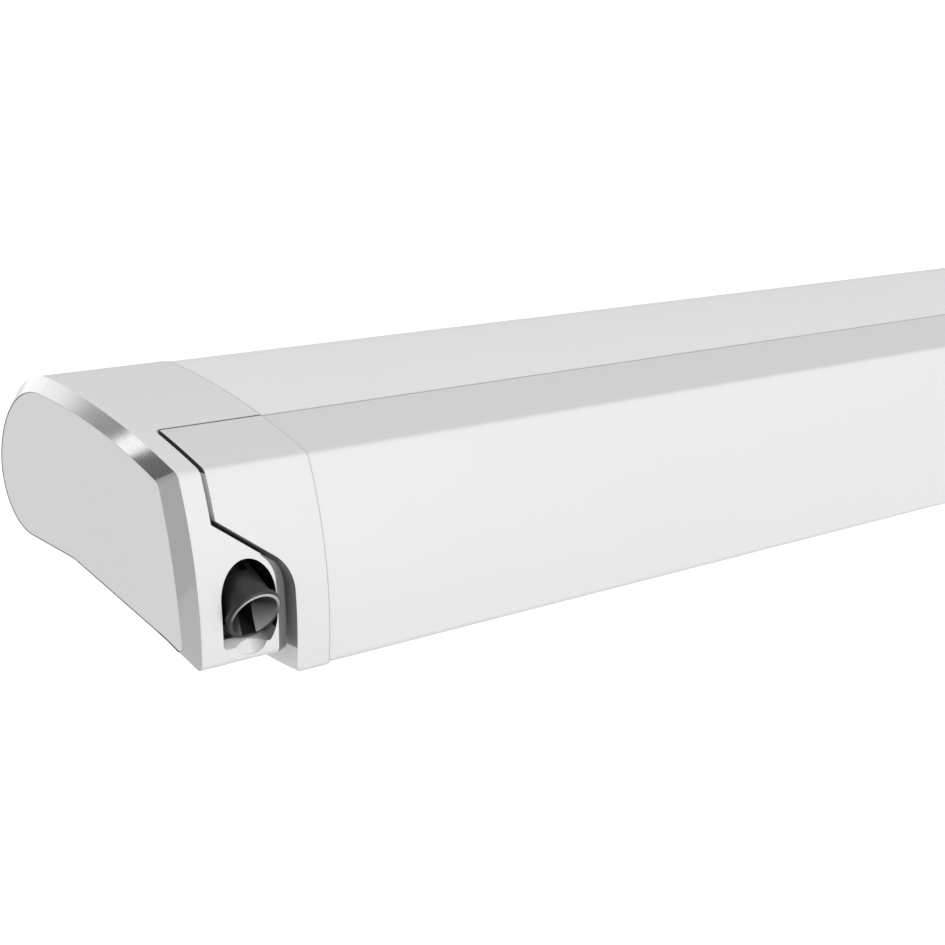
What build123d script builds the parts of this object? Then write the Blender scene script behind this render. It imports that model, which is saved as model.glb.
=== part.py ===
from build123d import *
import math
import os

os.makedirs("parts", exist_ok=True)

# Whole awning, millimetres and degrees
overall_length = 2600.0
cap_length = 90.0
section_depth = 212.0
section_height = 123.5
projection_pitch = 10.0
overrun = 60.0

# Outlines of the section as shares of its depth and height, from the front foot,
# up the front to the crease, over the top and round the back to the underside
cap_outline_shares = [
    (-0.033, -0.127), (-0.018, 0.340), (0.050, 0.741), (0.336, 0.889), (0.708, 1.000),
    (1.000, 0.591), (0.811, 0.186), (0.566, 0.186), (0.085, -0.010),
]
panel_outline_shares = [
    (0.000, -0.036), (0.031, 0.344), (0.089, 0.699), (0.377, 0.849), (0.708, 0.935),
    (0.967, 0.585), (0.807, 0.223), (0.557, 0.194), (0.084, 0.008),
]
rail_outline_shares = [
    (-0.028, -0.228), (-0.018, 0.340), (0.050, 0.741), (0.336, 0.889), (0.708, 1.000),
    (1.000, 0.591), (0.811, 0.186), (0.566, 0.186), (0.180, -0.186),
]
rail_profile_foot_share = (-0.028, -0.218)
crease_radius = 7.0
corner_radius = 4.0
profile_step = 0.6

# Casing profile
casing_wall = 2.4
seam_share = 0.272
floor_front_share = 0.212
floor_lip_height = 10.0
lip_split_share = 0.49
rib_place_share = 0.597
rib_height = 26.0
screw_port_radius = 3.6
cap_screw_radius = 2.1
cap_screw_head = 2.6
cap_screw_head_radius = 3.8
cap_screw_grip = 20.0
top_port_shares = (0.47, 0.885)
floor_port_share = 0.76
seal_width = 6.0
seal_radius = 1.2
mount_hole_radius = 4.2
mount_hole_pitch = 60.0
mount_spread = 900.0

# End caps, with their trim band and side panel
trim_bevel = 7.0
trim_depth = 8.0
panel_recess = 0.4
panel_thickness = 2.6
panel_joint = 0.15
cap_wall = 3.0
strip_width = 20.5
strip_length_share = 0.517
strip_corner_radius = 1.0
shroud_width = 63.7
shroud_slope = 35.3
shroud_corner_radius = 20.0
shroud_depth = 37.0
shroud_edge_width = 7.7
shroud_edge_depth = 4.5
shroud_floor_share = -0.098
foot_chamfer = 3.0
joint_gap = 0.15

# Moving rail caps
seam_gap = 0.8
rail_gap = 3.0
rail_side_gap = 4.3
rail_corner_radius = 26.0
rail_foot_radius = 6.0
rail_cap_wall = 3.0
rail_return_depth = 19.0

# Lead rail profile
rail_wall = 2.2
rail_web_place = 22.0
rail_channel_back = 36.0
rail_channel_top = 6.0
rail_channel_floor = -19.0
keder_place = 49.0
keder_drop = 8.0
keder_radius = 3.2
keder_wall = 1.8
keder_slot = 2.4

# Canopy and roller
roller_place = (160.0, 74.0)
roller_radius = 31.5
roller_wall = 1.8
roller_cap_gap = 20.0
canopy_thickness = 0.45
canopy_length = 2150.0
canopy_margin = 25.0
journal_radius = 8.0
drive_sides = 6
plug_depth = 32.0
plug_flange = 3.0
running_gap = 0.06

# Folding arms
arm_offset = 21.0
arm_end_room = 150.0
arm_middle_room = 30.0
shoulder_place = (92.0, 63.0)
arm_tube_depth = 24.0
arm_tube_height = 44.0
arm_tube_wall = 2.2
arm_tube_radius = 5.0
arm_tube_gap = 5.0
arm_pin_radius = 6.0
arm_pin_head = 9.0
arm_pin_head_thickness = 3.0
knuckle_radius = 15.0
knuckle_length = 36.0
plug_length = 40.0
lug_gap = 0.5
lug_thickness = 6.0
lug_radius = 14.0
tongue_height = 20.0
elbow_clearance = 24.0
fork_web_gap = 44.0
tongue_web_gap = 40.0
bracket_width = 60.0
bracket_wall = 6.0
bracket_foot = 44.0
wrist_plate_height = 66.0
wrist_plate_width = 70.0
wrist_plate_thickness = 5.0
spring_radius = 8.0
spring_length = 420.0
spring_wall = 2.2

# Crank, worm and gear box
crank_place = 38.0
crank_mouth = (-11.8, 13.5)
crank_tilt = 29.0
eyelet_radius = 16.5
eyelet_rim_height = 3.0
eyelet_body_radius = 14.6
eyelet_depth = 30.0
eyelet_slot_width = 9.0
eyelet_bore_radius = 5.0
eyelet_funnel_depth = 11.0
eyelet_bar_radius = 2.2
eyelet_window_width = 8.0
eyelet_window_height = 9.0
shroud_bore_radius = 17.4
shroud_bore_stretch = 9.4
shroud_barrel_wall = 2.4
shroud_bore_floor = 17.0
shroud_bore_corner = 2.5
scoop_radius = 17.2
scoop_reach = 6.2
scoop_fall = 5.1
crank_shaft_radius = 5.5
worm_length = 26.0
eyelet_mouth_radius = 13.6
eyelet_rim_round = 1.0
eyelet_bar_rise = 3.0
eyelet_windows = 4
wheel_teeth = 14
wheel_module = 3.0
wheel_width = 18.0
tooth_root_share = 1.25
tooth_root_width = 7.0
tooth_angle = 76.0
drive_length = 50.0
crank_collar_radius = 8.0
crank_collar_thickness = 2.0
bearing_plate_place = 72.0
gear_wall = 4.0
gear_cover_thickness = 4.0
gear_side_gap = 1.0

# Support legs, stowed in the lead rail
leg_width = 16.0
leg_height = 20.0
leg_wall = 1.5
leg_radius = 4.0
leg_lane = 9.3
leg_length = 1120.0
leg_ear = 2.0
half_turn = 180.0
leg_clip_wall = 0.8
leg_clip_width = 24.0
leg_clip_shares = [0.25, 0.70]
leg_end_room = 118.0
leg_drop = 6.0
leg_pin_radius = 3.0
leg_fit = 0.4
leg_clamp_length = 34.0
leg_clamp_wall = 1.0
foot_length = 16.0
foot_flange = 3.0

# Places that follow from the sizes
left_end = -overall_length / 2
half_profile = overall_length / 2 - cap_length
arm_length = overall_length / 2 - arm_end_room - arm_middle_room
seat_y = (cap_outline_shares[6][0] + cap_outline_shares[7][0]) / 2 * section_depth
seat_z = cap_outline_shares[6][1] * section_height
seam_y = seam_share * section_depth
lip_split = lip_split_share * section_height
crease_height = cap_outline_shares[2][1] * section_height
keder_height = cap_outline_shares[3][1] * section_height - keder_drop - 2 * keder_radius
roll_radius = math.sqrt(roller_radius**2 + canopy_length * canopy_thickness / math.pi)
wheel_radius = wheel_teeth * wheel_module / 2
front_reach = section_depth + overrun


def section(x):
    """The plane of the awning's section at a place along its length."""
    return Plane(origin=(x, -seat_y, -seat_z), x_dir=(0, 1, 0), z_dir=(1, 0, 0))


def front_view(y):
    """The plane that faces the front, measured inwards from the left end."""
    return Plane(origin=(left_end, y - seat_y, -seat_z), x_dir=(1, 0, 0), z_dir=(0, -1, 0))


def arm_plane(height=0.0):
    """The plane in which the arms fold, tilted down to the front."""
    tilt = math.radians(projection_pitch)
    normal = (0, -math.sin(tilt), math.cos(tilt))
    shoulder_y = shoulder_place[0] - seat_y
    shoulder_z = shoulder_place[1] - seat_z
    base = Plane(origin=(left_end + arm_end_room, shoulder_y, shoulder_z), x_dir=(1, 0, 0), z_dir=normal)
    return base.offset(height)


def crank_plane(inwards=0.0):
    """The plane square to the crank shaft, facing out of its mouth."""
    tilt = math.radians(crank_tilt)
    outwards = (0, -math.cos(tilt), -math.sin(tilt))
    mouth = (left_end + crank_place, crank_mouth[0] - seat_y, crank_mouth[1] - seat_z)
    return Plane(origin=mouth, x_dir=(1, 0, 0), z_dir=outwards).offset(-inwards)


def outline_points(shares, step):
    """The outline's corners, drawn in by a step except on the underside."""
    points = [Vector(y * section_depth, z * section_height) for y, z in shares]
    moves = [(1, 0), (1, 0), (1, -1), (0, -1), (0, -1), (-1, 0), (0, 0), (0, 0), (0, 0)]
    return [point + Vector(y, z) * step for point, (y, z) in zip(points, moves)]


def outline_face(shares, step=0.0, inset=0.0, mode=Mode.ADD):
    """The closed section with its crease and foot rounded, or an offset of it."""
    foot, front, crease, facet, top, rear, heel, bend, toe = outline_points(shares, step)
    with BuildSketch(mode=Mode.PRIVATE) as blank:
        with BuildLine():
            ThreePointArc(foot, front, crease)
            top_facet = ThreePointArc(crease, facet, top)
            upper_back = TangentArc(top, rear, tangent=top_facet % 1)
            TangentArc(rear, heel, tangent=upper_back % 1)
            Polyline(heel, bend, toe, foot)
        make_face()
        fillet(blank.vertices().sort_by_distance(crease)[0], crease_radius)
        fillet(blank.vertices().sort_by_distance(foot)[0], corner_radius)
        if inset:
            offset(amount=-inset, kind=Kind.INTERSECTION, mode=Mode.REPLACE)
    add(blank.sketch_local, mode=mode)


def rail_side_face(edge, length, side, radius, foot=-overrun, foot_radius=overrun / 2, mode=Mode.ADD):
    """The front view beside the fixed cap's strip, slope and crank shroud."""
    corner = length - (side - edge) * math.tan(math.radians(shroud_slope))
    high = section_height + overrun
    far = side + cap_length
    bends = [(edge, high), (edge, length), (side, corner), (side, foot), (far, foot)]
    with BuildSketch(mode=Mode.PRIVATE) as blank:
        with BuildLine():
            FilletPolyline(*bends, radius=[strip_corner_radius, radius, foot_radius])
            Polyline((far, foot), (far, high), (edge, high))
        make_face()
    add(blank.sketch_local, mode=mode)


pieces = {}


def keep(label, builder):
    """Notes a finished piece under its name."""
    pieces[label] = builder


def twin(label, builder):
    """Makes the same piece for the other end of the awning."""
    with BuildPart() as other:
        mirror(builder.part.solids(), about=Plane.YZ)
    keep(label, other)


# Places of the screws that hold each cap to the casing
port_inset = profile_step + casing_wall + screw_port_radius
screw_ports = [
    (top_port_shares[0] * section_depth, top_port_shares[1] * section_height),
    (section_depth - port_inset, cap_outline_shares[5][1] * section_height),
    (floor_port_share * section_depth, seat_z + casing_wall + screw_port_radius),
]

# Casing profile, an aluminium extrusion open towards the lead rail
profile_start = left_end + cap_length
with BuildSketch(section(profile_start)) as casing_walls:
    outline_face(cap_outline_shares, profile_step)
    outline_face(cap_outline_shares, profile_step, casing_wall, Mode.SUBTRACT)
    with Locations((seam_y - overrun, lip_split + overrun)):
        Rectangle(2 * overrun, 2 * overrun, mode=Mode.SUBTRACT)
    with Locations((floor_front_share * section_depth - overrun, lip_split - overrun)):
        Rectangle(2 * overrun, 2 * overrun, mode=Mode.SUBTRACT)
floor_slope = (cap_outline_shares[7][1] - cap_outline_shares[8][1]) * section_height / (
    (cap_outline_shares[7][0] - cap_outline_shares[8][0]) * section_depth
)


def floor_height(y):
    """The underside's height at a place between the toe and the seat."""
    return seat_z + (y - cap_outline_shares[7][0] * section_depth) * floor_slope


floor_front = floor_front_share * section_depth
rib_place = rib_place_share * section_depth
with BuildSketch(section(profile_start)) as casing_ribs:
    with Locations((floor_front + casing_wall / 2, floor_height(floor_front) + floor_lip_height / 2)):
        Rectangle(casing_wall, floor_lip_height)
    with Locations((rib_place, seat_z + rib_height / 2)):
        Rectangle(casing_wall, rib_height)
    outline_face(cap_outline_shares, profile_step, casing_wall, Mode.INTERSECT)
with BuildSketch(section(profile_start)) as casing_ports:
    with Locations(*screw_ports):
        Circle(screw_port_radius + profile_step)
    outline_face(cap_outline_shares, profile_step, casing_wall, Mode.INTERSECT)
with BuildPart() as casing_profile:
    with BuildSketch(section(profile_start)):
        for sketch in (casing_walls, casing_ribs, casing_ports):
            add(sketch.sketch_local)
        with Locations(*screw_ports):
            Circle(cap_screw_radius, mode=Mode.SUBTRACT)
    extrude(amount=2 * half_profile)
    with Locations(*[Pos(x, 0, 0) for x in (-mount_spread, 0, mount_spread)]):
        with GridLocations(mount_hole_pitch, 0, 2, 1):
            Cylinder(mount_hole_radius, 2 * rib_height, mode=Mode.SUBTRACT)
keep("casing_profile", casing_profile)

# Trim band, the bright bevel between the side panel and the cap
with BuildPart() as left_cap_trim:
    with BuildSketch(section(left_end)):
        outline_face(panel_outline_shares)
    with BuildSketch(section(left_end + trim_bevel)):
        outline_face(cap_outline_shares)
    loft(ruled=True)
    with BuildSketch(section(left_end + trim_bevel)):
        outline_face(cap_outline_shares)
    extrude(amount=trim_depth - trim_bevel)
    with BuildSketch(section(left_end)):
        outline_face(panel_outline_shares, inset=panel_joint)
    extrude(amount=trim_depth, mode=Mode.SUBTRACT)
keep("left_cap_trim", left_cap_trim)
twin("right_cap_trim", left_cap_trim)

# Side panel, a flat sheet let into the band
with BuildPart() as left_cap_panel:
    with BuildSketch(section(left_end + panel_recess)):
        outline_face(panel_outline_shares, inset=2 * panel_joint)
    extrude(amount=panel_thickness)
    fillet(left_cap_panel.faces().sort_by(Axis.X)[0].edges(), panel_recess)
keep("left_cap_panel", left_cap_panel)
twin("right_cap_panel", left_cap_panel)

# Crank shroud, the hollow box at the foot of the left cap with the crank's mouth
strip_length = strip_length_share * section_height
shroud_floor = shroud_floor_share * section_height
with BuildPart() as shroud_cavity:
    with BuildSketch(section(left_end + strip_width)):
        outline_face(cap_outline_shares, inset=cap_wall)
    extrude(amount=cap_length)
    with BuildSketch(front_view(shroud_depth + overrun)):
        Rectangle(2 * shroud_width - 4 * cap_wall, 4 * section_height)
        rail_side_face(
            strip_width, strip_length - 2 * cap_wall, shroud_width - 2 * cap_wall, shroud_corner_radius,
            mode=Mode.SUBTRACT
        )
    extrude(amount=front_reach, mode=Mode.INTERSECT)
with BuildPart() as shroud_barrel:
    with BuildSketch(crank_plane(cap_wall)):
        SlotCenterToCenter(
            shroud_bore_stretch, 2 * (shroud_bore_radius + shroud_barrel_wall), rotation=90
        )
        with Locations((0, 2 * shroud_barrel_wall - shroud_bore_floor)):
            Rectangle(overrun, overrun, align=(Align.CENTER, Align.MIN), mode=Mode.SUBTRACT)
    extrude(amount=2 * shroud_depth)
    with BuildSketch(section(left_end + strip_width)):
        outline_face(cap_outline_shares)
    extrude(amount=cap_length, mode=Mode.INTERSECT)
    with BuildSketch(front_view(front_reach)):
        Rectangle(4 * shroud_width, 4 * section_height)
        rail_side_face(strip_width, strip_length, shroud_width, shroud_corner_radius, mode=Mode.SUBTRACT)
    extrude(amount=2 * front_reach, mode=Mode.INTERSECT)
with BuildPart() as shroud_facet:
    with BuildSketch(section(left_end + shroud_width - shroud_edge_width)):
        with Locations((-overrun / 2, shroud_floor - overrun)):
            Rectangle(overrun, 2 * overrun + strip_length, align=(Align.CENTER, Align.MIN))
        outline_face(cap_outline_shares, mode=Mode.SUBTRACT)
    extrude(
        amount=2 * math.hypot(shroud_edge_width, shroud_edge_depth),
        dir=(shroud_edge_width, shroud_edge_depth, 0)
    )
with BuildPart() as crank_shroud:
    with BuildSketch(section(left_end + trim_depth)):
        outline_face(cap_outline_shares)
        with Locations((shroud_depth + front_reach / 2, 0)):
            Rectangle(front_reach, 2 * front_reach, mode=Mode.SUBTRACT)
    extrude(amount=shroud_width - trim_depth)
    with BuildSketch(front_view(shroud_depth)):
        with Locations((0, strip_length)):
            Rectangle(2 * shroud_width, 2 * (strip_length - shroud_floor))
        rail_side_face(strip_width, strip_length, shroud_width, shroud_corner_radius, mode=Mode.SUBTRACT)
    extrude(amount=front_reach, mode=Mode.INTERSECT)
    add(shroud_cavity.part, mode=Mode.SUBTRACT)
    add(shroud_barrel.part)
bore_rise = shroud_bore_stretch / 2
bore_side = math.sqrt(shroud_bore_radius**2 - (shroud_bore_floor - bore_rise) ** 2)
bore_turn = math.degrees(math.atan2(shroud_bore_floor - bore_rise, bore_side))
with BuildPart() as shroud_bore:
    with BuildSketch(crank_plane(shroud_depth + overrun)) as bore_outline:
        with BuildLine():
            CenterArc((0, bore_rise), shroud_bore_radius, 0, half_turn)
            Polyline(
                (-shroud_bore_radius, bore_rise), (-shroud_bore_radius, -shroud_bore_floor),
                (bore_side, -shroud_bore_floor)
            )
            CenterArc((0, -bore_rise), shroud_bore_radius, -bore_turn, bore_turn)
            Line((shroud_bore_radius, -bore_rise), (shroud_bore_radius, bore_rise))
        make_face()
        bore_corner = bore_outline.vertices().sort_by_distance(
            Vector(-shroud_bore_radius, -shroud_bore_floor)
        )[0]
        fillet(bore_corner, shroud_bore_corner)
    extrude(amount=2 * front_reach)
    with BuildSketch(crank_plane(-scoop_reach)):
        SlotCenterToCenter(shroud_bore_stretch, 2 * scoop_radius, rotation=90)
    with BuildSketch(crank_plane()):
        SlotCenterToCenter(shroud_bore_stretch, 2 * (scoop_radius - scoop_fall), rotation=90)
    loft(ruled=True)
    with BuildSketch(crank_plane(-scoop_reach)):
        SlotCenterToCenter(shroud_bore_stretch, 2 * scoop_radius, rotation=90)
    extrude(amount=overrun)


def end_cap(with_crank):
    """A moulded end cap: plate, skirt, front strip and the shroud at its foot."""
    with BuildPart() as cap:
        with BuildSketch(section(left_end + trim_depth)):
            outline_face(cap_outline_shares)
        extrude(amount=cap_length - trim_depth)
        with BuildSketch(section(left_end + trim_depth + cap_wall)):
            outline_face(cap_outline_shares, inset=cap_wall)
        extrude(amount=cap_length, mode=Mode.SUBTRACT)
        with BuildSketch(section(left_end + trim_depth)):
            with Locations(*screw_ports):
                Circle(screw_port_radius + profile_step)
            outline_face(cap_outline_shares, mode=Mode.INTERSECT)
        extrude(amount=cap_length - trim_depth)
        with BuildSketch(front_view(seam_y)):
            rail_side_face(strip_width, strip_length, shroud_width, shroud_corner_radius)
        extrude(amount=front_reach, mode=Mode.SUBTRACT)
        with BuildSketch(front_view(shroud_depth)):
            with BuildLine():
                Polyline(
                    (strip_width, shroud_floor - overrun), (strip_width, shroud_floor - foot_chamfer),
                    (strip_width + foot_chamfer, shroud_floor), (2 * cap_length, shroud_floor),
                    (2 * cap_length, shroud_floor - overrun), close=True
                )
            make_face()
        extrude(amount=front_reach, mode=Mode.SUBTRACT)
        with BuildSketch(section(left_end + panel_recess + panel_thickness)):
            outline_face(panel_outline_shares, inset=2 * panel_joint)
        extrude(amount=trim_depth - panel_recess - panel_thickness)
        add(crank_shroud.part)
        add(shroud_facet.part, mode=Mode.SUBTRACT)
        with BuildSketch(section(left_end)):
            with Locations(*screw_ports):
                Circle(cap_screw_radius + running_gap)
        extrude(amount=cap_length, mode=Mode.SUBTRACT)
        with BuildSketch(section(left_end)):
            with Locations(*screw_ports):
                Circle(cap_screw_head_radius + joint_gap)
        extrude(amount=trim_depth + 2 * joint_gap + cap_screw_head, mode=Mode.SUBTRACT)
        if with_crank:
            add(shroud_bore.part, mode=Mode.SUBTRACT)
    return cap


left_end_cap = end_cap(True)
keep("left_end_cap", left_end_cap)
twin("right_end_cap", end_cap(False))

# Lead rail profile, the front of the closed box, with the legs' channel under it
rail_profile_shares = [rail_profile_foot_share] + rail_outline_shares[1:]
rail_back = seam_y - seam_gap
channel_front = profile_step + rail_wall + rail_outline_shares[0][0] * section_depth
channel_middle = (channel_front + rail_channel_back) / 2
channel_height = rail_channel_top - rail_channel_floor
with BuildSketch(section(profile_start)) as rail_walls:
    outline_face(rail_profile_shares, profile_step)
    outline_face(rail_profile_shares, profile_step, rail_wall, Mode.SUBTRACT)
    with Locations((rail_back + front_reach / 2, 0)):
        Rectangle(front_reach, 2 * front_reach, mode=Mode.SUBTRACT)
    with Locations((channel_front + overrun, rail_channel_top - overrun)):
        Rectangle(2 * overrun, 2 * overrun, mode=Mode.SUBTRACT)
with BuildSketch(section(profile_start)) as rail_webs:
    with Locations((rail_web_place + rail_wall / 2, rail_channel_top)):
        Rectangle(rail_wall, 2 * section_height, align=(Align.CENTER, Align.MIN))
    with Locations((rail_channel_back + rail_wall, rail_channel_top)):
        Rectangle(overrun, rail_wall, align=(Align.MAX, Align.MIN))
    with Locations((rail_channel_back, rail_channel_floor)):
        Rectangle(rail_wall, channel_height + rail_wall, align=(Align.MIN, Align.MIN))
    with Locations((keder_place, keder_height)):
        Circle(keder_radius + keder_wall)
        Rectangle(keder_radius + keder_wall, overrun, align=(Align.CENTER, Align.MIN))
    outline_face(rail_profile_shares, profile_step, rail_wall, Mode.INTERSECT)
with BuildPart() as lead_rail_profile:
    with BuildSketch(section(profile_start)):
        add(rail_walls.sketch_local)
        add(rail_webs.sketch_local)
        with Locations((keder_place, keder_height)):
            Circle(keder_radius, mode=Mode.SUBTRACT)
            Rectangle(overrun, keder_slot, align=(Align.MIN, Align.CENTER), mode=Mode.SUBTRACT)
    extrude(amount=2 * half_profile)
keep("lead_rail_profile", lead_rail_profile)

# Rail cap, which closes the lead rail's end and clears the crank shroud
rail_edge = strip_width + rail_gap
rail_side = shroud_width + rail_side_gap
slope_angle = math.radians(shroud_slope)
rail_length = strip_length + rail_gap * (1 / math.cos(slope_angle) - math.tan(slope_angle))
rail_foot = rail_outline_shares[0][1] * section_height
with BuildPart() as rail_cap_cavity:
    with BuildSketch(section(left_end + rail_edge)):
        outline_face(rail_outline_shares, inset=rail_cap_wall)
    extrude(amount=2 * cap_length)
    with BuildSketch(front_view(front_reach)):
        rail_side_face(
            rail_edge + rail_cap_wall, rail_length + rail_cap_wall, rail_side + rail_cap_wall,
            rail_corner_radius, rail_foot + rail_cap_wall, rail_foot_radius
        )
    extrude(amount=2 * front_reach, mode=Mode.INTERSECT)
with BuildPart() as left_rail_cap:
    with BuildSketch(section(left_end + rail_edge)):
        outline_face(rail_outline_shares)
        with Locations((rail_back, -overrun)):
            Rectangle(front_reach, 2 * front_reach, align=(Align.MIN, Align.CENTER), mode=Mode.SUBTRACT)
        with Locations((rail_channel_back + rail_wall, lip_split)):
            Rectangle(front_reach, front_reach, align=(Align.MIN, Align.MAX), mode=Mode.SUBTRACT)
    extrude(amount=cap_length - rail_edge - joint_gap)
    with BuildSketch(front_view(front_reach)):
        rail_side_face(rail_edge, rail_length, rail_side, rail_corner_radius, rail_foot, rail_foot_radius)
    extrude(amount=2 * front_reach, mode=Mode.INTERSECT)
    add(rail_cap_cavity.part, mode=Mode.SUBTRACT)
    with BuildSketch(front_view(rail_return_depth + rail_outline_shares[0][0] * section_depth)):
        with Locations((rail_side - rail_cap_wall, crease_height - crease_radius)):
            Rectangle(2 * cap_length, crease_height - lip_split / 2, align=(Align.MAX, Align.MAX))
    extrude(amount=-overrun, mode=Mode.SUBTRACT)
keep("left_rail_cap", left_rail_cap)
twin("right_rail_cap", left_rail_cap)

# Closing seal, a rubber strip under the casing's front edge
with BuildSketch(section(profile_start + joint_gap)) as seal_section:
    with Locations((seam_y + seal_width / 2, keder_height + keder_radius)):
        Rectangle(seal_width, overrun, align=(Align.CENTER, Align.MIN))
    outline_face(cap_outline_shares, profile_step, casing_wall, Mode.INTERSECT)
with BuildPart() as closing_seal:
    with BuildSketch(section(profile_start + joint_gap)):
        add(seal_section.sketch_local)
    extrude(amount=2 * (half_profile - joint_gap))
    seal_edges = closing_seal.edges().filter_by(Axis.X).group_by(Axis.Z)[0]
    fillet(seal_edges, seal_radius)
keep("closing_seal", closing_seal)


def across(place, x):
    """The section's plane with its centre at a place of the section."""
    plane = section(x)
    return Plane(origin=plane.from_local_coords(Vector(*place)), x_dir=plane.x_dir, z_dir=plane.z_dir)


# Roller tube with its two end plugs
roller_start = left_end + roller_cap_gap + cap_length - plug_depth
roller_end = -roller_start
with BuildPart() as roller_tube:
    with BuildSketch(across(roller_place, roller_start)):
        Circle(roller_radius)
        Circle(roller_radius - roller_wall, mode=Mode.SUBTRACT)
    extrude(amount=roller_end - roller_start)
keep("roller_tube", roller_tube)


def roller_plug(with_journal):
    """A stepped plug in the roller's end, bored for the shaft or with a journal."""
    with BuildPart() as plug:
        with BuildSketch(across(roller_place, roller_start - plug_flange)):
            Circle(roller_radius)
        extrude(amount=plug_flange)
        with BuildSketch(across(roller_place, roller_start)):
            Circle(roller_radius - roller_wall - running_gap)
        extrude(amount=plug_depth)
        chamfer(plug.edges().filter_by(GeomType.CIRCLE).sort_by(Axis.X)[-1], roller_wall)
        if with_journal:
            with BuildSketch(across(roller_place, left_end + cap_length / 2)):
                Circle(journal_radius)
            extrude(amount=roller_start + plug_depth - left_end - cap_length / 2)
        else:
            with BuildSketch(across(roller_place, left_end)):
                RegularPolygon(journal_radius, drive_sides)
            extrude(amount=2 * cap_length, mode=Mode.SUBTRACT)
    return plug


keep("left_roller_plug", roller_plug(False))
twin("right_roller_plug", roller_plug(True))

# Canopy cloth rolled on the roller, and its free edge up to the lead rail
cloth_half = half_profile - canopy_margin
with BuildPart() as fabric_roll:
    with BuildSketch(across(roller_place, -cloth_half)):
        Circle(roll_radius)
        Circle(roller_radius + running_gap, mode=Mode.SUBTRACT)
    extrude(amount=2 * cloth_half)
keep("fabric_roll", fabric_roll)

leader_end = Vector(keder_place + keder_radius + keder_wall + canopy_thickness, keder_height)
roll_centre = Vector(*roller_place)
leader_reach = leader_end - roll_centre
lift_off = roll_radius + canopy_thickness
lift_angle = math.atan2(leader_reach.Y, leader_reach.X) - math.acos(lift_off / leader_reach.length)
leader_start = roll_centre + Vector(math.cos(lift_angle), math.sin(lift_angle)) * lift_off
leader_way = (leader_end - leader_start).normalized()
leader_rise = Vector(leader_way.Y, -leader_way.X) * canopy_thickness
with BuildPart() as canopy_leader:
    with BuildSketch(section(-cloth_half)):
        Polygon(
            leader_start, leader_end, leader_end + leader_rise, leader_start + leader_rise, align=None
        )
    extrude(amount=2 * cloth_half)
keep("canopy_leader", canopy_leader)

with BuildPart() as canopy_keder:
    with BuildSketch(across((keder_place, keder_height), -cloth_half)):
        Circle(keder_radius - running_gap)
        Rectangle(
            keder_radius + keder_wall, canopy_thickness, align=(Align.MIN, Align.CENTER)
        )
    extrude(amount=2 * cloth_half)
keep("canopy_keder", canopy_keder)

# Folding arms, drawn in the plane in which they fold. The shoulder is the origin,
# the elbow lies half a step in front of it and the wrist a whole step.
half_height = arm_tube_height / 2
upper_y = (arm_tube_gap + arm_tube_depth) / 2 - arm_offset
fore_y = -(arm_tube_gap + arm_tube_depth) / 2 - arm_offset
wrist_y = -2 * arm_offset
tube_end = arm_length - elbow_clearance - plug_length
tongue_end = tongue_height / 2
spring_end = knuckle_length + plug_length


def arm_tube(label, y):
    """A hollow oval tube between its two cast ends."""
    start = arm_plane().offset(0)
    place = start.from_local_coords(Vector(knuckle_length, y, 0))
    with BuildPart() as tube:
        with BuildSketch(Plane(origin=place, x_dir=start.y_dir, z_dir=(1, 0, 0))):
            RectangleRounded(arm_tube_depth, arm_tube_height, arm_tube_radius)
            offset(amount=-arm_tube_wall, mode=Mode.SUBTRACT)
        extrude(amount=tube_end - knuckle_length)
    keep("left_" + label, tube)
    twin("right_" + label, tube)


def tube_plug(x, y, length):
    """The part of a casting that is pushed into a tube's end."""
    start = arm_plane()
    place = start.from_local_coords(Vector(x, y, 0))
    with BuildSketch(Plane(origin=place, x_dir=start.y_dir, z_dir=(1, 0, 0))) as plug:
        inner = arm_tube_wall + running_gap
        RectangleRounded(
            arm_tube_depth - 2 * inner, arm_tube_height - 2 * inner, arm_tube_radius - arm_tube_wall
        )
    extrude(plug.sketch, amount=length)


def knuckle_face(centre_x, centre_y, radius, block_x, block_y, width):
    """A round eye joined to a square block by its two tangents."""
    with BuildSketch(mode=Mode.PRIVATE) as blank:
        with Locations((centre_x, centre_y)):
            Circle(radius)
        with Locations((block_x, block_y)):
            Rectangle(width, arm_tube_depth)
        make_hull()
    add(blank.sketch_local)


def pin_hole(x, y):
    """The bore for a hinge pin, right through the casting."""
    with BuildSketch(arm_plane(-arm_tube_height)) as bore:
        with Locations((x, y)):
            Circle(arm_pin_radius + running_gap)
    extrude(bore.sketch, amount=2 * arm_tube_height, mode=Mode.SUBTRACT)


def arm_knuckle(label, eye_y, tube_y):
    """The cast end of an arm tube with its eye."""
    with BuildPart() as knuckle:
        with BuildSketch(arm_plane(-half_height)):
            block_x = knuckle_length - bracket_wall / 2
            knuckle_face(0, eye_y, knuckle_radius, block_x, tube_y, bracket_wall)
        extrude(amount=arm_tube_height)
        tube_plug(knuckle_length, tube_y, plug_length)
        pin_hole(0, eye_y)
    keep("left_" + label, knuckle)
    twin("right_" + label, knuckle)


def hinge_pin(places):
    """Headed pins through the eyes, one for each place."""
    with BuildPart() as pins:
        for x, y in places:
            with BuildSketch(arm_plane(-half_height - lug_gap - lug_thickness)):
                with Locations((x, y)):
                    Circle(arm_pin_radius)
            extrude(amount=arm_tube_height + 2 * (lug_gap + lug_thickness))
            for end in (-1, 1):
                outside = end * (half_height + lug_gap + lug_thickness)
                with BuildSketch(arm_plane(outside)):
                    with Locations((x, y)):
                        Circle(arm_pin_head)
                extrude(amount=end * arm_pin_head_thickness)
    return pins


arm_tube("upper_arm_tube", upper_y)
arm_tube("forearm_tube", fore_y)
arm_knuckle("shoulder_knuckle", 0, upper_y)
arm_knuckle("wrist_knuckle", wrist_y, fore_y)

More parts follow.
